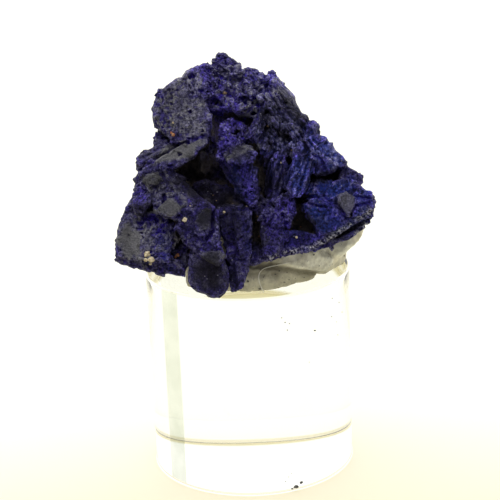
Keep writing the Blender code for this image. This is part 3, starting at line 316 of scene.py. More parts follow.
# Painted shade: faces turned from the light are painted darker.
PAINTED_SHADE_PATCHES = (
    (-4.0, 2.8, 0.9, 1.2, 10, 0.9),
    (-2.0, 2.4, 0.9, 2.2, 0, 1.0),
    (-0.6, 2.0, 0.7, 2.0, 0, 0.8),
    (-0.7, 6.4, 1.0, 1.7, 0, 0.7),
    (-1.1, 9.1, 1.1, 0.8, 0, 1.15),
    (3.1, 10.8, 0.8, 0.55, -20, 1.0),
    (3.4, 13.2, 0.7, 0.5, -40, 0.8),
    (4.6, 12.3, 0.5, 0.6, 0, 0.8),
    (1.6, 12.7, 0.8, 0.6, 20, 0.9),
    (0.9, 6.4, 0.5, 2.0, 0, 0.8),
    (2.8, 11.4, 2.0, 2.2, 20, 0.25),
    (7.4, 9.0, 1.4, 1.2, 0, 0.2),
    (4.4, 1.2, 1.2, 0.8, 0, 1.0),
    (-3.8, -2.6, 1.9, 1.9, 0, 0.6),
    (-8.6, 9.5, 1.4, 0.6, 25, 0.8),
    (-8.9, 6.5, 0.9, 0.7, 0, 1.0),
    (-7.3, 4.1, 1.1, 1.0, 0, 0.35),
    (-3.4, -0.4, 0.8, 0.6, 0, 0.7),
    (2.2, 1.2, 1.3, 1.6, 0, 0.7),
    (-5.6, 2.2, 0.9, 1.2, 0, 0.6),
    (8.8, 4.2, 0.8, 1.1, 0, 1.0),
    (3.9, 14.0, 2.0, 0.7, -50, 1.0),
    (-6.4, 9.2, 2.0, 0.7, 25, 0.2),
    (-6.8, 7.6, 1.6, 0.6, 25, 0.5),
    (-6.6, 13.6, 2.2, 2.2, 0, 0.15),
    (-1.6, -1.2, 1.0, 1.6, 0, 0.5),
    (2.6, 6.2, 1.2, 2.0, 0, 0.6),
    (-2.0, 10.4, 1.0, 1.3, 0, 0.5),
    (6.8, 3.4, 2.0, 1.6, 0, 0.25),
    (-9.2, -1.0, 0.9, 0.6, 0, 0.3),
    (-11.0, 0.9, 1.1, 1.5, 0, 0.25),
    (-8.8, 6.6, 0.9, 0.7, 0, 0.4),
    (-5.6, 5.6, 1.6, 0.8, -50, 0.4),
    (-4.6, 11.3, 1.2, 0.9, 0, 0.4),
)
# Patches painted bright violet as light shining through: painted light.
VIVID = (
    (-0.6, 2.2, 0.6, 1.6, 0, 0.35),
    (4.2, 1.2, 0.9, 0.6, 0, 0.4),
    (-1.9, 11.8, 1.5, 3.2, -12, 1.0),
    (-3.1, 13.0, 0.9, 2.2, 0, 1.0),
    (-6.9, 13.4, 0.5, 1.6, -10, 0.5),
    (0.6, 16.6, 1.4, 0.8, 0, 0.5),
    (0.0, 5.8, 0.7, 2.2, 10, 0.8),
    (3.3, 4.0, 1.0, 1.2, 0, 0.9),
    (2.4, 1.6, 1.4, 1.8, 0, 0.8),
    (5.0, 0.9, 1.8, 0.7, 10, 0.8),
    (-9.8, 5.2, 0.7, 1.0, 0, 0.7),
    (-4.6, 4.4, 1.0, 0.5, -50, 0.6),
    (-2.2, 0.4, 0.5, 2.6, 0, 0.6),
    (8.4, 3.6, 1.6, 1.0, 20, 0.5),
)
# Holes that can be told apart: (u, v, half width, half height, depth).
HOLES = (
    (-3.1, 13.6, 0.5, 0.42, 0.9),
    (-4.6, 14.85, 0.2, 0.16, 0.5),
    (-5.5, 12.9, 0.18, 0.14, 0.4),
    (-5.3, 14.7, 0.14, 0.12, 0.4),
    (-5.5, 10.4, 0.24, 0.12, 0.5),
    (-4.9, 10.3, 0.2, 0.14, 0.5),
    (-4.4, 10.6, 0.22, 0.18, 0.5),
    (-5.7, 9.9, 0.2, 0.1, 0.4),
    (-5.4, 16.3, 0.3, 0.2, 0.6),
    (-6.4, 8.9, 0.18, 0.14, 0.4),
    (-7.2, 7.8, 0.2, 0.14, 0.4),
    (-7.8, 5.0, 0.14, 0.3, 0.4),
    (-8.5, 4.05, 0.22, 0.18, 0.6),
    (-8.9, 3.15, 0.34, 0.2, 0.6),
    (-10.1, 2.1, 0.22, 0.12, 0.4),
    (-10.15, 2.6, 0.2, 0.12, 0.4),
    (-11.1, 1.5, 0.14, 0.1, 0.3),
    (-8.55, 2.75, 0.16, 0.14, 0.5),
    (-7.9, 2.9, 0.16, 0.14, 0.4),
    (-8.3, 1.9, 0.16, 0.12, 0.4),
    (-7.8, 1.8, 0.14, 0.14, 0.4),
    (-0.5, 13.75, 0.2, 0.18, 0.6),
    (0.35, 14.2, 0.22, 0.16, 0.5),
    (0.7, 13.6, 0.2, 0.16, 0.5),
    (0.3, 12.75, 0.2, 0.16, 0.5),
    (-0.5, 12.1, 0.36, 0.26, 0.8),
    (-2.6, 16.2, 0.16, 0.16, 0.5),
    (-3.0, 15.8, 0.16, 0.14, 0.5),
    (-3.6, 15.3, 0.18, 0.14, 0.5),
    (3.0, 3.4, 0.2, 0.2, 0.5),
    (3.3, 2.6, 0.2, 0.2, 0.5),
    (-3.3, 3.2, 0.08, 0.3, 0.3),
    (-3.4, 2.4, 0.08, 0.4, 0.3),
    (-3.5, 1.6, 0.1, 0.3, 0.3),
)
# Parts that stand proud: (u, v, half width, half height, turn in degrees, millimetres).
PROUD = (
    (5.6, 12.1, 1.0, 0.9, -50, 0.3),
    (6.5, 10.8, 0.7, 0.9, 0, 0.25),
    (3.2, 15.2, 1.4, 0.6, -50, 0.14),
    (-11.5, 3.2, 0.8, 1.8, -20, 0.12),
    (11.4, 4.8, 0.8, 0.9, 0, 0.12),
    (-7.2, 15.6, 1.6, 0.6, 35, 0.12),
    (-5.0, 17.0, 1.2, 0.5, 10, 0.1),
    (-0.6, 16.9, 0.8, 0.4, 0, 0.14),
    (-3.0, 18.2, 0.9, 0.7, 0, 0.12),
    (-8.8, 12.4, 0.5, 1.4, 0, 0.08),
)
# Cracks and open seams, each a line of (u, v).
CRACKS = (
    ((-6.8, 9.7), (-5.7, 10.1), (-4.9, 10.4), (-4.2, 10.7)),
    ((-10.1, 7.6), (-9.2, 8.1), (-8.3, 8.6), (-7.4, 9.2), (-6.8, 9.6)),
    ((6.8, 5.1), (8.3, 3.9), (8.8, 3.1)),
    ((4.9, 5.1), (6.3, 5.0), (7.7, 4.2)),
    ((5.2, 4.6), (6.0, 4.2), (6.9, 4.1)),
    ((9.6, 5.1), (11.4, 4.8)),
    ((9.1, 3.2), (9.7, 4.2), (11.3, 4.6)),
    ((-10.3, 2.0), (-9.7, 2.9), (-8.8, 3.4)),
    ((-8.6, 1.7), (-8.0, 2.3), (-7.4, 2.8), (-6.9, 2.8)),
    ((-3.3, 3.6), (-3.4, 2.6), (-3.3, 1.9), (-3.9, 1.1)),
    ((-2.6, 14.6), (-3.1, 13.4), (-2.6, 12.4)),
    ((5.7, 9.0), (6.6, 8.4), (6.9, 7.6)),
)

crystals = copy_of("azurite_cluster", "azurite_crystals")
crystals.data.transform(lay_it_flat)

# Small crystals and grains overgrow the big ones, thickest along their edges and on the spongy parts.
dice = np.random.default_rng(11)
BLOCK_CORNERS = np.array([(x, y, z) for x in (-1, 1) for y in (-1, 1) for z in (-1, 1)])
BLOCK_FACES = ((0, 1, 3, 2), (4, 6, 7, 5), (0, 4, 5, 1), (2, 3, 7, 6), (0, 2, 6, 4), (1, 5, 7, 3))


def block(middle, outwards, size):
    """The corners of one small crystal, a skewed tablet that stands on or leans against the surface."""
    across = np.cross(outwards, dice.normal(size=3))
    across /= np.linalg.norm(across)
    lean = np.array(outwards) + dice.normal(0, 0.3, 3)
    axes = np.stack([across, np.cross(lean, across), lean * dice.uniform(0.5, 0.9)])
    stretch = dice.uniform(0.7, 1.3, (3, 1)) * size / 2
    skewed = BLOCK_CORNERS + 0.3 * BLOCK_CORNERS[:, [1, 2, 0]] * dice.uniform(-1, 1)
    return np.array(middle) + skewed @ (axes * stretch)


SEEDS_PER_MM = 1.6
SHARP = 0.5
EDGE_GRAINS = (0.1, 0.2)
FACE_GRAINS = (0.31, 0.45, 0.7)
FACE_GRAIN_SHARES = (0.6, 0.36, 0.04)
BARE_COVERAGE = 0.06
BACK_COVERAGE = 0.35
shape = bmesh.new()
shape.from_mesh(crystals.data)
shape.normal_update()
seeds = []
for ridge in shape.edges:
    if ridge.is_manifold and ridge.calc_face_angle_signed(0) > SHARP:
        start, end = ridge.verts[0].co, ridge.verts[1].co
        outwards = (ridge.link_faces[0].normal + ridge.link_faces[1].normal).normalized()
        for _ in range(dice.poisson(ridge.calc_length() * SEEDS_PER_MM)):
            at = start.lerp(end, dice.uniform())
            seeds.append((np.array(at), np.array(outwards), dice.uniform(*EDGE_GRAINS)))
for face in shape.faces:
    for _ in range(dice.poisson(face.calc_area() * SEEDS_PER_MM)):
        a, b, c = (np.array(corner.co) for corner in face.verts)
        s, t = sorted(dice.uniform(size=2))
        at = s * a + (t - s) * b + (1 - t) * c
        seeds.append((at, np.array(face.normal), dice.choice(FACE_GRAINS, p=FACE_GRAIN_SHARES)))
shape.free()
seed_points = np.array([at for at, outwards, size in seeds])
seed_front = seed_points[:, 2] > 3.0
coverage = np.maximum(patches(seed_points, 0.0, SPONGY), patches(seed_points, 0.0, SUGARY))
coverage = np.maximum(coverage * (1 - patches(seed_points, 0.0, SMOOTH_FACES)), BARE_COVERAGE)
coverage = np.where(seed_front, coverage, BACK_COVERAGE)
on_edge = np.array([size < FACE_GRAINS[0] for at, outwards, size in seeds])
grown = dice.uniform(size=len(seeds)) < np.maximum(coverage, 0.3 * on_edge)
corners, faces = [], []
for seed in np.nonzero(grown)[0]:
    at, outwards, size = seeds[seed]
    faces += [[corner + 8 * len(corners) for corner in side] for side in BLOCK_FACES]
    corners.append(block(at - outwards * size * 0.1, outwards, size))
overgrowth = bpy.data.meshes.new("overgrowth")
overgrowth.from_pydata(np.concatenate(corners).tolist(), [], faces)
blocks = added("overgrowth", overgrowth)
only(crystals)
blocks.select_set(True)
bpy.ops.object.join()

applied(crystals, "REMESH", mode="VOXEL", voxel_size=FINEST_GRAIN, use_smooth_shade=True)
applied(crystals, "SMOOTH", factor=0.5, iterations=1)

points, facing = vectors_of(crystals, "co"), vectors_of(crystals, "normal")
coarse, middling, small, tiny = (
    uneven(points, size, seed) for size, seed in ((1.4, 1), (0.6, 2), (0.3, 3), (0.16, 4))
)
wander = 0.5 * coarse + 0.45 * middling + 0.3 * small
front = np.clip((points[:, 2] - 2.0) / 2.0, 0, 1) * np.clip(facing[:, 2] * 3 + 0.8, 0, 1)
spongy, sugary, smooth, sheen, azure, painted_shade, vivid = (
    front * patches(points, wander, spots)
    for spots in (SPONGY, SUGARY, SMOOTH_FACES, SHEEN_PATCHES, AZURE, SHADED_PATCHES, VIVID)
)
# Painted light and shade, patch by patch.
light_and_shade = front * (1.4 * patches(points, wander, PAINTED_LIGHT_PATCHES) - 0.68 * patches(points, wander, PAINTED_SHADE_PATCHES))
# A painted highlight runs along the rim of the right slope.
SLOPE_RIM_HIGHLIGHT = ((1.8, 16.4), (3.4, 15.2), (4.6, 13.8), (5.6, 12.0))
light_and_shade += front * nearness(points, SLOPE_RIM_HIGHLIGHT, 0.3) * np.clip(facing[:, 2] * 3 + 0.3, 0, 1)
# White crust along the two plates at the lower right, then the rims, painted a vivid violet as painted light shining
# through them.
crust = np.maximum(
    nearness(points, ((1.8, -0.6), (4.2, 0.1), (6.2, 0.65), (7.8, 1.5), (9.3, 2.6), (11.2, 3.8)), 0.17),
    nearness(points, ((5.0, -0.4), (6.6, -0.1), (8.6, 0.5), (9.8, 1.6), (11.0, 2.8)), 0.17),
)
crust *= front * np.clip(0.8 + 2.0 * middling + 1.5 * small, 0, 1)
for rim, reach in (
    (((-5.4, 5.8), (-4.2, 6.5), (-3.2, 6.2), (-1.9, 5.9)), 0.18),
    (((-2.8, 3.8), (-3.3, 2.6), (-3.2, 1.8), (-3.8, 1.0)), 0.12),
    (SLOPE_RIM_HIGHLIGHT, 0.3),
    (((-8.8, 11.4), (-8.9, 13.3), (-8.0, 15.1), (-6.0, 16.7), (-4.3, 17.1), (-4.2, 15.6)), 0.35),
    (((-5.6, 4.6), (-4.4, 4.9), (-3.3, 3.9)), 0.25),
    (((-5.5, -3.0), (-4.6, -4.0), (-3.4, -4.2), (-2.2, -3.3)), 0.3),
):
    vivid = np.maximum(vivid, front * nearness(points, rim, reach))
# How deep each point lies in a gap between crystals that is closed on all four sides.
CELL = 0.25
CELLS = 140
GRID_START = -14.0
GAP_REACH = 10
NO_CRYSTAL = -20.0
cell = tuple(np.clip(((points[:, :2] - GRID_START) / CELL).astype(int), 0, CELLS - 1).T)
tallest = np.full((CELLS, CELLS), NO_CRYSTAL)
np.maximum.at(tallest, cell, points[:, 2])
walls = [
    np.max([np.roll(tallest, step * way, axis) for step in range(1, GAP_REACH + 1)], axis=0)
    for axis, way in ((0, 1), (0, -1), (1, 1), (1, -1))
]
sunk = np.min(walls, axis=0)[cell] - points[:, 2]
# Painted light: the deepest gaps are lifted to a pale brown that stands in for the light reaching them.
gap_fill_light = front * np.clip(facing[:, 2] * 3 + 0.4, 0, 1) * np.clip((sunk - 1.2) / 1.5, 0, 1)
# Round the sides and back each crystal has a finish of its own, given at random, with painted grey sheen and painted
# violet glow among them.
BACK_CRYSTAL_SIZE = 4.0
inside, own = crumbs(points, BACK_CRYSTAL_SIZE, 4)
spongy = np.maximum(spongy, (1 - front) * np.clip(own * 3 - 2 + wander, 0, 0.8))
sheen = np.maximum(sheen, (1 - front) * np.clip(1.2 - own * 4 - wander, 0, 0.4))
vivid = np.maximum(vivid, (1 - front) * np.clip(1.5 - abs(own - 0.8) * 10 + wander, 0, 0.6))
azure *= 1 - 0.7 * sheen
azure = np.maximum(azure, (1 - front) * np.clip(2 - abs(own - 0.6) * 10, 0, 0.7))
smooth *= 1 - spongy
edge = np.clip(swell(crystals, 12) / 0.06, 0, 1)
# Painted shade: hollows are painted near black.
hollow_shade = np.clip(-swell(crystals, 90) / 0.3, 0, 1)

# Lumps, fine ribs on the blades, broken edges and pits. The ribs of three faces run at these angles in
# degrees, and are so many times longer than wide.
SLOPE_GRAIN, FAN_GRAIN, PRISM_GRAIN = -52, 74, 27
RIB_STRETCH = 7.0
RIB_HEIGHT = 0.22
PIT_DEPTH = 0.3
PLATE_SIZE = 1.3
PLATE_GAP = 0.16
CRACK_WIDTH = 0.13


def ribs(points, turn, size, seed):
    """Like uneven, drawn out along a line of the show face."""
    c, s = math.cos(math.radians(turn)), math.sin(math.radians(turn))
    along = (points[:, 0] * c + points[:, 1] * s) / RIB_STRETCH
    across = points[:, 1] * c - points[:, 0] * s
    return uneven(np.stack([along, across, points[:, 2] * 0.8], 1), size, seed)


sugar = (0.3 + 0.7 * np.maximum(spongy, sugary)) * (1 - 0.85 * smooth) * (1 - 0.4 * sheen)
lumps = sugar * (0.03 * middling + 0.08 * tiny)
for size, height, seed in ((0.5, 0.08, 31), (0.26, 0.1, 32)):
    inside, own = crumbs(points, size, seed)
    lumps += sugar * height * (own - 0.5)
right_slope = patches(points, wander, ((3.6, 12.6, 2.6, 3.6, 20, 1.0),))
right_fan = patches(points, wander, ((2.8, 7.2, 3.0, 3.4, 0, 1.0), (7.0, 5.6, 3.6, 3.2, 0, 0.4)))
prism_face = patches(points, wander, ((-8.8, 9.0, 2.2, 1.6, 25, 1.0),))
streaks = right_slope * ribs(points, SLOPE_GRAIN, 0.24, 21) + right_fan * ribs(points, FAN_GRAIN, 0.24, 22)
streaks += 0.6 * prism_face * ribs(points, PRISM_GRAIN, 0.22, 23)
lumps *= 1 - 0.7 * np.maximum(np.maximum(right_slope, right_fan), prism_face)
chips = -0.12 * edge * np.clip(middling + small + 0.1, 0, 1) * (1 - 0.4 * smooth)
spots = uneven(points, 0.26, 7) + 0.35 * uneven(points, 0.13, 8) + 0.35 * uneven(points, 1.5, 9)
level = 0.62 - 0.13 * spongy + 0.3 * smooth + 0.7 * right_slope + 0.6 * right_fan
pits = np.clip((spots - level) / 0.08, 0, 1)
ragged = 0.5 * small + 0.4 * tiny
for u, v, half_width, half_height, depth in HOLES:
    reach = np.hypot((points[:, 0] - u) / half_width, (points[:, 1] - v) / half_height) + ragged
    pits = np.maximum(pits, front * np.clip((1.25 - reach) / 0.3, 0, 1) * depth / 0.4)
# The spongy parts are plates with open gaps between them.
inside, own = crumbs(points + 0.5 * np.stack([middling, coarse, small], 1), PLATE_SIZE, 51)
gaps = spongy * np.clip(1 - inside / 0.2, 0, 1) * np.clip(own * 3, 0, 1)
sheen *= 1 - gaps
# Painted glow: the gaps are painted bright violet too.
vivid = np.maximum(vivid, 0.7 * gaps)
lumps -= PLATE_GAP * gaps
chips -= 0.3 * edge * np.clip(coarse + 0.05, 0, 0.6) * (1 - 0.6 * smooth)
for crack in CRACKS:
    pits = np.maximum(pits, front * np.clip(nearness(points, crack, CRACK_WIDTH) + 0.6 * ragged - 0.1, 0, 1))
# The overgrowth stands a little proud of the big crystals, most of all on their edges.
proud = 0.04 + 0.12 * edge + patches(points, 0.0, PROUD)
relief = proud + lumps + front * (RIB_HEIGHT * streaks) + chips - PIT_DEPTH * pits
points = points + facing * relief[:, None]
move_points(crystals, points)
applied(crystals, "SMOOTH", factor=0.3, iterations=1)

# What the finish reads of each point.
for name, values in (
    ("tips", np.clip(swell(crystals, 6) / 0.04, -1, 1)),
    ("hollow_shade", hollow_shade),
    ("pits", np.clip(pits, 0, 1)),
    ("spongy", spongy),
    ("smooth", smooth),
    ("sheen", sheen),
    ("azure", azure),
    ("painted_shade", painted_shade),
    ("vivid", vivid),
    ("gap_fill_light", gap_fill_light),
    ("light_and_shade", light_and_shade),
    ("crust", crust),
    ("slope", front * right_slope),
    ("fan", front * right_fan),
    ("streak", front * streaks),
):
    give(crystals, name, values)
# The mesh is thinned to a size that files can hold, least of all on the show face.
triangles = sum(len(face.vertices) - 2 for face in crystals.data.polygons)
kept = crystals.vertex_groups.new(name="kept")
for share in (0.0, 0.3, 0.6, 0.9):
    kept.add(np.nonzero((front >= share) & (front < share + 0.3))[0].tolist(), 0.2 + 0.8 * share, "REPLACE")
applied(
    crystals, "DECIMATE", ratio=min(1.0, CLUSTER_TRIANGLES / triangles), vertex_group="kept", vertex_group_factor=1.0
)
FEWEST_FACES = 100


def in_one_piece(piece):
    """Takes out the stray triangles and the crumbs that hang in the air beside the piece itself."""
    shape = bmesh.new()
    shape.from_mesh(piece.data)
    unseen, stray = set(shape.faces), []
    while unseen:
        island = [unseen.pop()]
        for face in island:
            for edge in face.edges:
                for neighbour in edge.link_faces:
                    if neighbour in unseen:
                        unseen.remove(neighbour)
                        island.append(neighbour)
        if len(island) < FEWEST_FACES:
            stray += island
    bmesh.ops.delete(shape, geom=stray, context="FACES")
    shape.to_mesh(piece.data)
    shape.free()


in_one_piece(crystals)
crystals.data.transform(stand_it_up)
crystals.data.shade_flat()


def fill(made, inputs):
    """Sets a node's inputs, or links them where the value comes out of another node."""
    for socket, value in inputs.items():
        if isinstance(value, bpy.types.NodeSocket):
            made.id_data.links.new(value, made.inputs[socket])
        else:
            made.inputs[socket].default_value = value


def node_adder(tree):
    """A helper that adds nodes to one tree."""

    def node(kind, inputs=(), **settings):
        made = tree.nodes.new(kind)
        for setting, value in settings.items():
            setattr(made, setting, value)
        fill(made, dict(inputs))
        return made

    return node


def new_finish(name):
    """A material, the helper that adds its nodes, its shader, and the place of each point as a node."""
    material = bpy.data.materials.new(name)
    material.use_nodes = True
    node = node_adder(material.node_tree)
    return material, node, material.node_tree.nodes["Principled BSDF"], node("ShaderNodeTexCoord").outputs["Object"]


# The helpers from here on add to whichever finish is being made, through its own node and place.
def mixed(share, first, second):
    """The colour between two colours, by a share from 0 to 1."""
    first, second = ((*colour, 1.0) if isinstance(colour, tuple) else colour for colour in (first, second))
    return node("ShaderNodeMix", {0: share, 6: first, 7: second}, data_type="RGBA").outputs[2]


def cloudy(scale, detail, roughness=0.5, at=None):
    """A cloudy pattern with so many blots to the metre, at each point's own place unless another is given."""
    looks = {"Vector": at or place, "Scale": scale, "Detail": detail, "Roughness": roughness}
    return node("ShaderNodeTexNoise", looks).outputs["Fac"]


NAVY = (0.011, 0.010, 0.036)
VIOLET = (0.024, 0.016, 0.116)
BRIGHT_VIOLET = (0.056, 0.036, 0.290)
AZURE_BLUE = (0.004, 0.013, 0.094)
HOLLOW_SHADE = (0.016, 0.014, 0.014)
GAP_FILL_LIGHT = (0.200, 0.170, 0.150)
CRUST = (0.42, 0.41, 0.42)
SHADE_BLACK = (0.0075, 0.0065, 0.0045)
PIT_DARK = (0.0160, 0.0096, 0.0960)
PIT_VIOLET = (0.040, 0.024, 0.280)
SHEEN_GREY = (0.118, 0.116, 0.120)
PAINTED_GLINT = (0.26, 0.25, 0.30)

azurite, node, shader, place = new_finish("azurite")
mottle = cloudy(1100.0, 4.0)
speckle = cloudy(4500.0, 4.0, 0.7)
grit = cloudy(8000.0, 2.0, 0.7)
grains = node("ShaderNodeTexVoronoi", {"Vector": place, "Scale": 5200.0, "Randomness": 1.0})
grain_number = node("ShaderNodeSeparateXYZ", {0: grains.outputs["Color"]})


def read(name):
    """One of the numbers that give stored for each point."""
    return node("ShaderNodeAttribute", attribute_name=name).outputs["Fac"]


def ranged(value, low, high, to_low=0.0, to_high=1.0, **settings):
    """A value moved from one range to another and held inside it."""
    ranges = {"Value": value, "From Min": low, "From Max": high, "To Min": to_low, "To Max": to_high}
    return node("ShaderNodeMapRange", ranges, **settings).outputs["Result"]


def times(first, second):
    """The product of two values."""
    return node("ShaderNodeMath", {0: first, 1: second}, operation="MULTIPLY").outputs[0]


def plus(first, second):
    """The sum of two values, 1 at most."""
    return node("ShaderNodeMath", {0: first, 1: second}, operation="ADD", use_clamp=True).outputs[0]


def between(share, first, second):
    """The number between two numbers, by a share from 0 to 1."""
    return node("ShaderNodeMix", {0: share, 2: first, 3: second}).outputs[0]


# Navy to violet stone, bluer in places. Painted light: bright violet is painted where thin edges, tips and rims would
# let the light through.
body = mixed(ranged(plus(times(mottle, 0.6), times(speckle, 0.4)), 0.40, 0.58), NAVY, VIOLET)
body = mixed(times(read("azure"), ranged(speckle, 0.3, 0.6, 0.4, 1.0)), body, AZURE_BLUE)
lit = times(ranged(read("tips"), 0.2, 1.0), ranged(grit, 0.45, 0.6))
lit = plus(times(read("vivid"), ranged(speckle, 0.40, 0.56)), lit)
body = mixed(times(lit, 0.9), body, BRIGHT_VIOLET)
# Painted sheen: grey is painted on what stands out and on the smooth faces. Painted shade, pits and crust lie over
# it.
dust_and_sheen = plus(read("sheen"), ranged(mottle, 0.44, 0.60, 0.15, 0.6))
raised_sheen = times(ranged(read("tips"), -0.35, 0.45), ranged(speckle, 0.38, 0.56, 0.15, 1.0))
dust_and_sheen = times(dust_and_sheen, ranged(read("azure"), 0.0, 1.0, 1.0, 0.45))
flat_face_sheen = plus(times(read("smooth"), 0.6), times(read("sheen"), 0.5))
body = mixed(times(dust_and_sheen, plus(raised_sheen, flat_face_sheen)), body, SHEEN_GREY)
# Painted shade: the shaded patches are painted near black.
body = mixed(times(read("painted_shade"), 0.85), body, SHADE_BLACK)
# Painted shade in the hollows.
body = mixed(ranged(read("hollow_shade"), 0.2, 0.8), body, HOLLOW_SHADE)
body = mixed(times(read("pits"), 0.9), body, mixed(read("spongy"), PIT_DARK, PIT_VIOLET))
body = mixed(times(read("crust"), ranged(speckle, 0.44, 0.56)), body, CRUST)
# Every grain is lighter or darker than the next, less so on the calm faces, and the blades show fine fibres.
shade = plus(times(ranged(speckle, 0.38, 0.62), 0.55), times(grain_number.outputs["X"], 0.45))
# Painted light and shade on the ribs: their crests are lighter and their troughs darker.
shade = plus(shade, times(read("streak"), 0.9))
calm = plus(times(read("smooth"), 0.33), times(read("sheen"), 0.55))
shade = between(calm, ranged(shade, 0.1, 0.9, 0.16, 2.3), 1.05)
# The painted light and shade of the patches scale the colour here.
strength = times(times(shade, ranged(grit, 0.35, 0.65, 0.7, 1.3)), ranged(read("light_and_shade"), -1.0, 2.0, 0.0, 3.0))
for blades, turn in (("slope", SLOPE_GRAIN), ("fan", FAN_GRAIN)):
    drawn = node(
        "ShaderNodeMapping",
        {"Vector": place, "Rotation": (0.0, math.radians(-turn), 0.0), "Scale": (RIB_STRETCH, 1.0, 1.0)},
        vector_type="TEXTURE",
    )
    fibres = cloudy(5500.0, 2.0, at=drawn.outputs[0])
    fine = times(strength, ranged(fibres, 0.36, 0.66, 0.3, 1.7))
    strength = between(times(read(blades), 0.9), strength, fine)
body = node("ShaderNodeVectorMath", {0: body, "Scale": strength}, operation="SCALE").outputs[0]
# Painted light: the deep gaps are painted a pale brown.
body = mixed(times(read("gap_fill_light"), ranged(speckle, 0.3, 0.6, 0.5, 1.0)), body, GAP_FILL_LIGHT)
# Painted glints: a few grains are painted light grey as if they faced the light.
glint = times(ranged(grain_number.outputs["Y"], 0.965, 1.0), ranged(grains.outputs["Distance"], 0.4, 0.2))
body = mixed(glint, body, PAINTED_GLINT)
grain = {"Height": plus(times(speckle, 0.5), times(grit, 0.5)), "Strength": 1.0, "Distance": 0.0003}
fill(shader, {
    "Base Color": body,
    "Roughness": ranged(read("smooth"), 0.0, 1.0, 0.5, 0.36),
    "IOR": 1.45,
    "Specular Tint": (0.5, 0.48, 0.85, 1.0),
    "Specular IOR Level": 0.2,
    "Normal": node("ShaderNodeBump", grain).outputs["Normal"],
})
crystals.data.materials.append(azurite)
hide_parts("azurite_cluster")
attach(crystals, "root")

# ---------------------------------------------------------------------------
# Mounting putty. A kneaded lump of cream-grey putty, pressed down on the stand and squeezed out by the
# cluster, so that it touches the crystals all round and shows the fold where two lumps met.

PRESSED_CELL = 0.13
FINAL_CELL = 0.105
LUMP_HEIGHT = 0.3
FOLD_DEPTH = 0.45
SIDE_FOLD_DEPTH = 0.2
PULL_REACH = 0.9
BEDDED = 0.06
LEFT_END = -5.7
SKIRT_TOP = 20.9
FLAT_BELOW = 20.12
FOOT = 19.98
SPREAD = 9.9
putty = copy_of("mounting_putty", "mounting_putty_lump")
putty.data.transform(Matrix.Scale(1 / MM, 4))
applied(putty, "REMESH", mode="VOXEL", voxel_size=PRESSED_CELL, use_smooth_shade=True)
applied(putty, "SMOOTH", factor=0.5, iterations=6)
points, facing = vectors_of(putty, "co"), vectors_of(putty, "normal")
to_show = lay_it_flat @ Matrix.Scale(MM, 4)
show = points @ np.array(to_show.to_3x3()).T + np.array(to_show.translation)
in_front = np.clip(show[:, 2] - 3.0, 0, 1)
fold = in_front * nearness(show, ((0.6, -1.5), (3.1, -1.6), (4.6, -1.95), (6.8, -2.2)), 0.26)
fold = np.maximum(fold, 0.6 * in_front * nearness(show, ((0.4, -2.1), (2.4, -2.2)), 0.4))
side_fold = in_front * nearness(show, ((7.6, -0.2), (8.6, -1.0), (9.2, -1.2)), 0.22)
upper_lump = in_front * patches(show, 0.0, ((5.6, -0.9, 3.2, 0.8, -6, 1.0),))
# A band just below the crystals, left of the middle, is darkened.
darker_band = in_front * nearness(show, ((-0.8, -1.6), (0.6, -1.4), (2.4, -1.9)), 0.7)
# Painted light: the putty in the shadow of the crystals' overhang is painted pale.
painted_light = in_front * patches(show, 0.0, ((8.2, 0.4, 1.8, 1.3, 0, 1.0), (6.6, -0.8, 1.6, 0.6, 0, 0.6)))
dents = 0.14 * uneven(points, 1.9, 11) + 0.08 * uneven(points, 0.7, 12) + 0.07 * uneven(points, 0.25, 13)
kneading = dents + LUMP_HEIGHT * upper_lump - FOLD_DEPTH * fold - SIDE_FOLD_DEPTH * side_fold
points = points + facing * kneading[:, None]
# Close to the crystals the putty is drawn on to them, a little way inside their faces.
crystal_surface = BVHTree.FromPolygons(
    [vertex.co / MM for vertex in crystals.data.vertices], [list(face.vertices) for face in crystals.data.polygons]
)
for i, point in enumerate(points):
    touched, normal, face, distance = crystal_surface.find_nearest(Vector(point), PULL_REACH)
    if touched is not None:
        pull = min(1.0, 2.0 * PULL_REACH - distance * 2.0)
        points[i] = point + (np.array(touched - normal * BEDDED) - point) * max(pull, 0.0)
# At the left of the show face the lump stops short and leaves the clear top of the stand free.
beyond = np.minimum(points[:, 0] - LEFT_END, 0) * np.clip(-points[:, 1] / 2.0, 0, 1)
points[:, 0] -= 0.9 * beyond
# The underside is pressed flat on the stand, and nothing hangs over its edge low down.
low = np.clip((SKIRT_TOP - points[:, 2]) / 0.5, 0, 1)
out = np.hypot(points[:, 0], points[:, 1])
points[:, :2] *= (1 - low * (1 - np.minimum(1, SPREAD / out)))[:, None]
points[:, 2] = np.where(points[:, 2] < FLAT_BELOW, FOOT, points[:, 2])
move_points(putty, points)
# A second, finer remesh closes what was pressed together, and each new point takes the old one's values.
applied(putty, "REMESH", mode="VOXEL", voxel_size=FINAL_CELL, use_smooth_shade=True)
in_one_piece(putty)
pressed = KDTree(len(points))
for i, point in enumerate(points):
    pressed.insert(point, i)
pressed.balance()
nearest = [pressed.find(vertex.co)[1] for vertex in putty.data.vertices]
creases = np.maximum(fold, side_fold)
for name, values in (("fold", creases), ("lump", upper_lump), ("darker_band", darker_band), ("painted_light", painted_light)):
    give(putty, name, values[nearest])
putty.data.transform(Matrix.Scale(MM, 4))

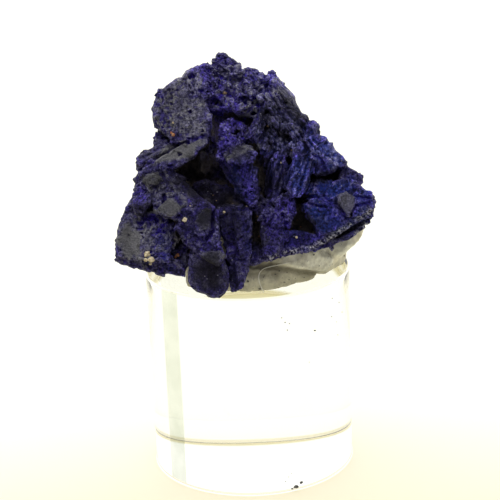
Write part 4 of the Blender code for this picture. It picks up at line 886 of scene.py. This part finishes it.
CREAM, STRAW, UPPER_LUMP_CREAM, PAINTED_LIGHT_CREAM = (0.88, 0.82, 0.61), (0.50, 0.46, 0.32), (1.0, 0.98, 0.82), (1.0, 0.99, 0.84)
CRUMBLED, DARKER_BAND, FOLD_SHADE = (0.34, 0.31, 0.22), (0.26, 0.235, 0.17), (0.16, 0.14, 0.10)
GRUBBY, BLACK_SPECK = (0.30, 0.28, 0.21), (0.12, 0.115, 0.11)
putty_finish, node, shader, place = new_finish("putty")
smears = cloudy(260.0, 5.0, 0.6)
dirt = cloudy(2600.0, 3.0)
crumble = cloudy(1000.0, 4.0, 0.65)
body = mixed(ranged(smears, 0.35, 0.66), CREAM, STRAW)
# The upper lump is painted paler than the rest.
body = mixed(times(read("lump"), ranged(smears, 0.7, 0.4)), body, UPPER_LUMP_CREAM)
# Painted light: pale cream painted where the overhang shades the putty.
body = mixed(read("painted_light"), body, PAINTED_LIGHT_CREAM)
body = mixed(ranged(crumble, 0.45, 0.62, 0.0, 0.4), body, CRUMBLED)
# The band below the crystals is painted darker brown.
body = mixed(times(read("darker_band"), ranged(crumble, 0.35, 0.55, 0.3, 0.8)), body, DARKER_BAND)
# Painted shade: the fold is painted dark where shade falls in it.
body = mixed(times(read("fold"), 0.7), body, FOLD_SHADE)
body = mixed(ranged(dirt, 0.35, 0.65, 0.22, 0.0), body, GRUBBY)
body = mixed(ranged(dirt, 0.64, 0.72, 0.0, 0.7), body, BLACK_SPECK)
kneaded = {"Height": plus(times(crumble, 0.6), times(dirt, 0.4)), "Strength": 0.8, "Distance": 0.0003}
fill(shader, {
    "Base Color": body,
    "Roughness": 0.62,
    "Subsurface Weight": 0.15,
    "Subsurface Radius": (0.0008, 0.0007, 0.0005),
    "Normal": node("ShaderNodeBump", kneaded).outputs["Normal"],
})
putty.data.materials.append(putty_finish)
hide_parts("mounting_putty")
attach(putty, "root")

# ---------------------------------------------------------------------------
# Clear stand. A length of cast acrylic rod, sawn and polished, with its sharp edges just broken. It stands
# loose on its flat end, and nothing but the putty holds the cluster on it. The lengths here are in metres.

# Where the darker strip of the wall is and how wide, in degrees round the stand.
STRIP_AT = 221.5
STRIP_WIDTH = 13.0
BROKEN_EDGE = 0.00025
POLISHED, STRIP_TINT = (0.985, 0.992, 0.97), (0.50, 0.54, 0.45)
TOP_TINT, GROUND = (0.92, 0.92, 0.76), (0.72, 0.65, 0.45)
stand_low, stand_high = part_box("acrylic_stand")
stand_height = stand_high.z - stand_low.z
stand_radius = (stand_high.x - stand_low.x) / 2
bpy.ops.object.select_all(action="DESELECT")
bpy.ops.mesh.primitive_cylinder_add(
    vertices=256, radius=stand_radius, depth=stand_height, location=(0, 0, stand_low.z + stand_height / 2)
)
stand = bpy.context.object
stand.name = "clear_stand"
bpy.ops.object.transform_apply(location=True, rotation=False, scale=False)
applied(stand, "BEVEL", width=BROKEN_EDGE, segments=4, limit_method="ANGLE", angle_limit=math.radians(40))
only(stand)
bpy.ops.object.shade_smooth_by_angle(angle=math.radians(35))
clear, node, shader, place = new_finish("clear acrylic")
haze = cloudy(300.0, 3.0)
# One strip of the wall, a few millimetres wide from top to bottom, is tinted darker.
flat_place = node("ShaderNodeVectorMath", {0: place, 1: (1.0, 1.0, 0.0)}, operation="MULTIPLY").outputs[0]
outwards = node("ShaderNodeVectorMath", {0: flat_place}, operation="NORMALIZE").outputs[0]
strip_middle = math.radians(STRIP_AT)
strip_way = (math.cos(strip_middle), math.sin(strip_middle), 0.0)
nearby = node("ShaderNodeVectorMath", {0: outwards, 1: strip_way}, operation="DOT_PRODUCT").outputs["Value"]
half_strip = math.cos(math.radians(STRIP_WIDTH / 2))
darker_strip = ranged(nearby, half_strip - 0.0006, half_strip + 0.0006)
darker_strip = times(darker_strip, ranged(haze, 0.35, 0.6, 0.75, 1.0))
tint = mixed(darker_strip, POLISHED, STRIP_TINT)
# The top is tinted cream, and the broken edge at the foot is dull and brown as ground.
height = node("ShaderNodeSeparateXYZ", {0: place}).outputs["Z"]
ground = ranged(height, 0.0004, 0.0003)
tint = mixed(ranged(height, stand_high.z - 0.0002, stand_high.z - 0.0001), tint, TOP_TINT)
tint = mixed(ground, tint, GROUND)
roughness = plus(times(ground, 0.45), ranged(haze, 0.5, 0.75, 0.0, 0.04))
fill(shader, {"Base Color": tint, "Roughness": roughness, "Transmission Weight": 1.0, "IOR": 1.49})
stand.data.materials.clear()
stand.data.materials.append(clear)
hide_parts("acrylic_stand")
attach(stand, "root")

# ---------------------------------------------------------------------------
# Stray grains. Bits of cream calcite, tan clay and orange iron stain that stuck to the azurite in the
# ground, each a small crumb bedded in the crystals' surface.

GRAIN_COLOURS = {
    "cream": ((0.72, 0.62, 0.42), (0.42, 0.33, 0.18)),
    "tan": ((0.42, 0.29, 0.17), (0.20, 0.13, 0.08)),
    "rust": ((0.34, 0.10, 0.03), (0.55, 0.30, 0.14)),
}
# (u, v, size) on the show face.
GRAINS = {
    "cream": (
        (-9.45, -0.35, 0.55), (-9.15, -0.75, 0.5), (-9.6, -0.75, 0.35), (-9.2, -1.1, 0.28),
        (-6.05, 2.95, 0.4), (-2.4, 3.6, 0.25), (4.3, 1.3, 0.2), (-0.3, 4.15, 0.15),
        (-7.1, 11.9, 0.17), (2.9, 8.2, 0.14), (-5.5, 4.2, 0.14),
    ),
    "tan": (
        (-2.3, 14.65, 0.34), (1.65, 11.6, 0.2), (0.55, 2.7, 0.2), (0.85, 1.4, 0.25),
        (0.7, 3.3, 0.14), (4.4, 2.9, 0.16), (-7.3, 3.0, 0.18), (-1.6, 4.4, 0.13),
        (-3.1, 4.7, 0.12), (-3.4, 5.2, 0.12), (3.9, 9.4, 0.16),
    ),
    "rust": (
        (-6.7, -0.35, 0.32), (-5.6, -0.05, 0.34), (-7.1, 10.8, 0.3),
        (-7.25, 11.0, 0.2), (-6.85, -0.5, 0.2), (4.7, 2.3, 0.14),
    ),
}
# u and v are measured on a plane this far out, seen from a viewer this far away.
SHOW_PLANE = 8.0
VIEWER_AWAY = 143.1


def surface_at(tree, u, v):
    """The place and normal where a look at one spot of the show face meets a surface, all lying flat."""
    viewer = Vector((0.0, 0.0, VIEWER_AWAY))
    spot, normal, face, distance = tree.ray_cast(viewer, (Vector((u, v, SHOW_PLANE)) - viewer).normalized())
    return spot, normal


def flat_tree(piece):
    """A search tree of a piece's faces in the frame of the show face."""
    corners = [lay_it_flat @ vertex.co for vertex in piece.data.vertices]
    return BVHTree.FromPolygons(corners, [list(face.vertices) for face in piece.data.polygons])


def crumb(shape, middle, size, squash, seed):
    """Adds one rough crumb to a bmesh: a ball pushed in and out and flattened a little."""
    made = bmesh.ops.create_icosphere(shape, subdivisions=3, radius=size / 2)["verts"]
    shift = Vector((seed * 3.7, seed * 1.9, seed * 5.3))
    for vertex in made:
        lump = noise.noise(vertex.co * (2.2 / size) + shift) + 0.4 * noise.noise(vertex.co * (6.0 / size) + shift)
        vertex.co *= 1 + 0.55 * lump
        vertex.co.z *= squash
        vertex.co += middle


def meshed(name, shape):
    """A new piece with the mesh of a bmesh, which is used up."""
    mesh = bpy.data.meshes.new(name)
    shape.to_mesh(mesh)
    shape.free()
    return added(name, mesh)


crystal_tree = flat_tree(crystals)
for number, (kind, places) in enumerate(GRAINS.items()):
    shape = bmesh.new()
    for seed, (u, v, size) in enumerate(places):
        spot, normal = surface_at(crystal_tree, u, v)
        crumb(shape, spot + normal * size * 0.12, size, 0.8, 10 * number + seed)
    grains_piece = meshed(kind + "_grains", shape)
    grains_piece.data.transform(stand_it_up)
    grains_piece.data.shade_flat()
    light, dark = GRAIN_COLOURS[kind]
    finish, node, shader, place = new_finish(kind + " grains")
    blots = cloudy(4200.0, 3.0)
    blotched = mixed(ranged(blots, 0.42, 0.6), light, dark)
    fill(shader, {"Base Color": blotched, "Roughness": ranged(blots, 0.3, 0.7, 0.35, 0.7)})
    grains_piece.data.materials.append(finish)
    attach(grains_piece, "root")

# ---------------------------------------------------------------------------
# Lint and dust. One fine pale fibre stuck across the putty, and dark specks of dust on the putty and on
# the wall and foot of the stand.

LINT = ((3.8, -0.95), (2.9, -1.2), (1.8, -1.4), (1.2, -1.6), (0.85, -2.0), (0.8, -2.5), (0.95, -3.1), (1.3, -3.8))
LINT_RADIUS = 0.042
LINT_PROUD = 0.12
SAME_PLACE = 0.0005
# A hair's breadth in metres, so that no two faces lie in one plane.
HAIR = 0.00001
# (u, v, size) on the show face of the putty, then (x, z, size) on the stand's front wall.
PUTTY_SPECKS = (
    (-0.2, -2.75, 0.2), (0.9, -3.45, 0.2), (2.5, -1.2, 0.1), (2.7, -1.8, 0.14), (2.35, -2.1, 0.12), (5.9, -0.3, 0.16),
    (8.7, -0.4, 0.14), (3.6, -2.6, 0.1), (5.0, -2.4, 0.09), (6.4, -1.3, 0.1), (7.2, -0.6, 0.09), (4.2, -3.1, 0.1),
)
WALL_SPECKS = (
    (3.0, 17.9, 0.12), (3.3, 17.4, 0.14), (3.7, 17.2, 0.12), (3.5, 16.6, 0.13), (6.1, 15.9, 0.19), (5.5, 12.9, 0.1),
    (7.8, 16.6, 0.13), (8.3, 15.8, 0.11), (8.6, 17.6, 0.13), (8.9, 16.4, 0.12), (8.4, 14.4, 0.12), (7.9, 18.4, 0.12),
    (3.85, 0.42, 0.44), (4.4, 0.72, 0.34), (3.5, 0.3, 0.2), (3.2, 1.6, 0.12), (3.5, 1.9, 0.11), (2.9, 1.2, 0.11),
)

putty_tree = flat_tree(putty)
along, depth = [], SHOW_PLANE
for u, v in LINT:
    spot, normal = surface_at(putty_tree, u, v)
    depth = spot.z + LINT_PROUD if spot is not None else depth
    away, whole = VIEWER_AWAY - depth, VIEWER_AWAY - SHOW_PLANE
    along.append(Vector((u * away / whole, v * away / whole, depth)))
fibre = bpy.data.curves.new("lint", "CURVE")
fibre.dimensions = "3D"
fibre.bevel_depth = LINT_RADIUS
fibre.bevel_resolution = 2
fibre.use_fill_caps = True
line = fibre.splines.new("NURBS")
line.points.add(len(along) - 1)
for point, at in zip(line.points, along):
    point.co = (*at, 1.0)
line.use_endpoint_u = True
line.order_u = 3
line.resolution_u = 6
drawn = added("lint_drawn", fibre)
evaluated = drawn.evaluated_get(bpy.context.evaluated_depsgraph_get())
lint = added("lint_fibre", bpy.data.meshes.new_from_object(evaluated))
bpy.data.objects.remove(drawn)
applied(lint, "WELD", merge_threshold=SAME_PLACE)
lint.data.transform(stand_it_up)
lint.data.shade_smooth()
finish, node, shader, place = new_finish("lint")
fill(shader, {"Base Color": mixed(cloudy(900.0, 2.0), (0.80, 0.77, 0.62), (0.95, 0.93, 0.84))})
lint.data.materials.clear()
lint.data.materials.append(finish)
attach(lint, "root")

shape = bmesh.new()
for seed, (u, v, size) in enumerate(PUTTY_SPECKS):
    spot, normal = surface_at(putty_tree, u, v)
    if spot is not None:
        crumb(shape, stand_it_up @ (spot + normal * 0.02), size * MM, 0.8, seed)
for seed, (x, z, size) in enumerate(WALL_SPECKS):
    middle = Vector((x * MM, -math.sqrt(stand_radius**2 - (x * MM) ** 2) + HAIR, z * MM))
    crumb(shape, middle, size * MM, 0.7, 40 + seed)
dust_and_sheen = meshed("dust_specks", shape)
finish, node, shader, place = new_finish("dust_and_sheen")
fill(shader, {"Base Color": mixed(cloudy(3000.0, 2.0), (0.02, 0.02, 0.02), (0.16, 0.15, 0.13))})
dust_and_sheen.data.materials.append(finish)
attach(dust_and_sheen, "root")

# ---------------------------------------------------------------------------
# Camera, floor and light. The view is from a little above, straight at the show face, and the light is a
# white tent, brightest overhead and behind and dim on the camera's side.

VIEW_DISTANCE = 143.1
VIEW_MIDDLE = Vector((0.316, 0.0, 21.55))
LENS = 105.27
PAPER_NEAR, PAPER_FAR, PAPER_UNLIT = (0.585, 0.50, 0.28), (0.71, 0.70, 0.575), (0.0, 0.0, 0.0)
UNDER_STAND, UNDER_STAND_BACK = (1.03, 1.03, 0.985), (0.66, 0.59, 0.33)

camera = added("camera", bpy.data.cameras.new("camera"))
camera.data.lens = LENS
camera.data.sensor_width = 36.0
camera.data.clip_start = 0.01
camera.matrix_world = (
    Matrix.Translation(VIEW_MIDDLE * MM)
    @ Matrix.Rotation(math.pi / 2 - CLUSTER_LEAN, 4, "X")
    @ Matrix.Rotation(CLUSTER_ROLL, 4, "Z")
    @ Matrix.Translation((0.0, 0.0, VIEW_DISTANCE * MM))
)
bpy.context.scene.camera = camera

bpy.ops.object.select_all(action="DESELECT")
bpy.ops.mesh.primitive_plane_add(size=3.0)
floor = bpy.context.object
floor.name = "floor"
floor.location.z = HAIR
bpy.ops.object.transform_apply(location=True, rotation=False, scale=False)
floor_paint, node, shader, place = new_finish("floor paper")
back = node("ShaderNodeSeparateXYZ", {0: place}).outputs["Y"]
# The paper is lit from below round the stand, less so on the camera's side. Places on it are in metres.
paper = mixed(ranged(back, -0.016, 0.012), PAPER_NEAR, PAPER_FAR)
paper = mixed(ranged(back, -0.014, -0.045), paper, PAPER_UNLIT)
from_axis = node("ShaderNodeVectorMath", {0: place}, operation="LENGTH").outputs["Value"]
under_stand = mixed(ranged(back, 0.0084, 0.0092), UNDER_STAND, UNDER_STAND_BACK)
paper = mixed(ranged(from_axis, 0.0101, 0.0099), paper, under_stand)
fill(shader, {
    "Base Color": (0.35, 0.35, 0.33, 1.0), "Roughness": 0.8, "Emission Color": paper, "Emission Strength": 1.0
})
floor.data.materials.append(floor_paint)

world = bpy.data.worlds.new("tent")
bpy.context.scene.world = world
world.use_nodes = True
node = node_adder(world.node_tree)
sky = node("ShaderNodeSeparateXYZ", {0: node("ShaderNodeTexCoord").outputs["Generated"]}).outputs


def brighter(first, second):
    """The larger of two values."""
    return node("ShaderNodeMath", {0: first, 1: second}, operation="MAXIMUM").outputs[0]


overhead = ranged(sky["Z"], 0.46, 0.78, 0.0, 1.95, interpolation_type="SMOOTHSTEP")
behind_it = ranged(sky["Y"], -0.25, 0.35, 0.0, 1.15, interpolation_type="SMOOTHSTEP")
cast = brighter(brighter(overhead, behind_it), 0.06)
# Seen directly or through the stand the tent is even white, whatever light it casts.
ray = node("ShaderNodeLightPath").outputs
seen = brighter(ray["Is Camera Ray"], ray["Is Transmission Ray"])
glow = between(seen, cast, ranged(sky["Y"], -0.3, 0.3, 0.75, 1.15, interpolation_type="SMOOTHSTEP"))
fill(world.node_tree.nodes["Background"], {"Color": (1.0, 1.0, 1.0, 1.0), "Strength": glow})

LAMP_AT = Vector((-0.10, -0.04, 0.34))
LAMP_AIM = Vector((0.0, 0.0, 0.03))
LAMP_SIZE = 0.12
LAMP_WATTS = 0.12
lamp = added("softbox", bpy.data.lights.new("softbox", "AREA"))
lamp.data.size = LAMP_SIZE
lamp.data.energy = LAMP_WATTS
lamp.location = LAMP_AT
lamp.rotation_euler = (LAMP_AIM - LAMP_AT).to_track_quat("-Z", "Y").to_euler()

bpy.context.scene.view_settings.view_transform = "Standard"
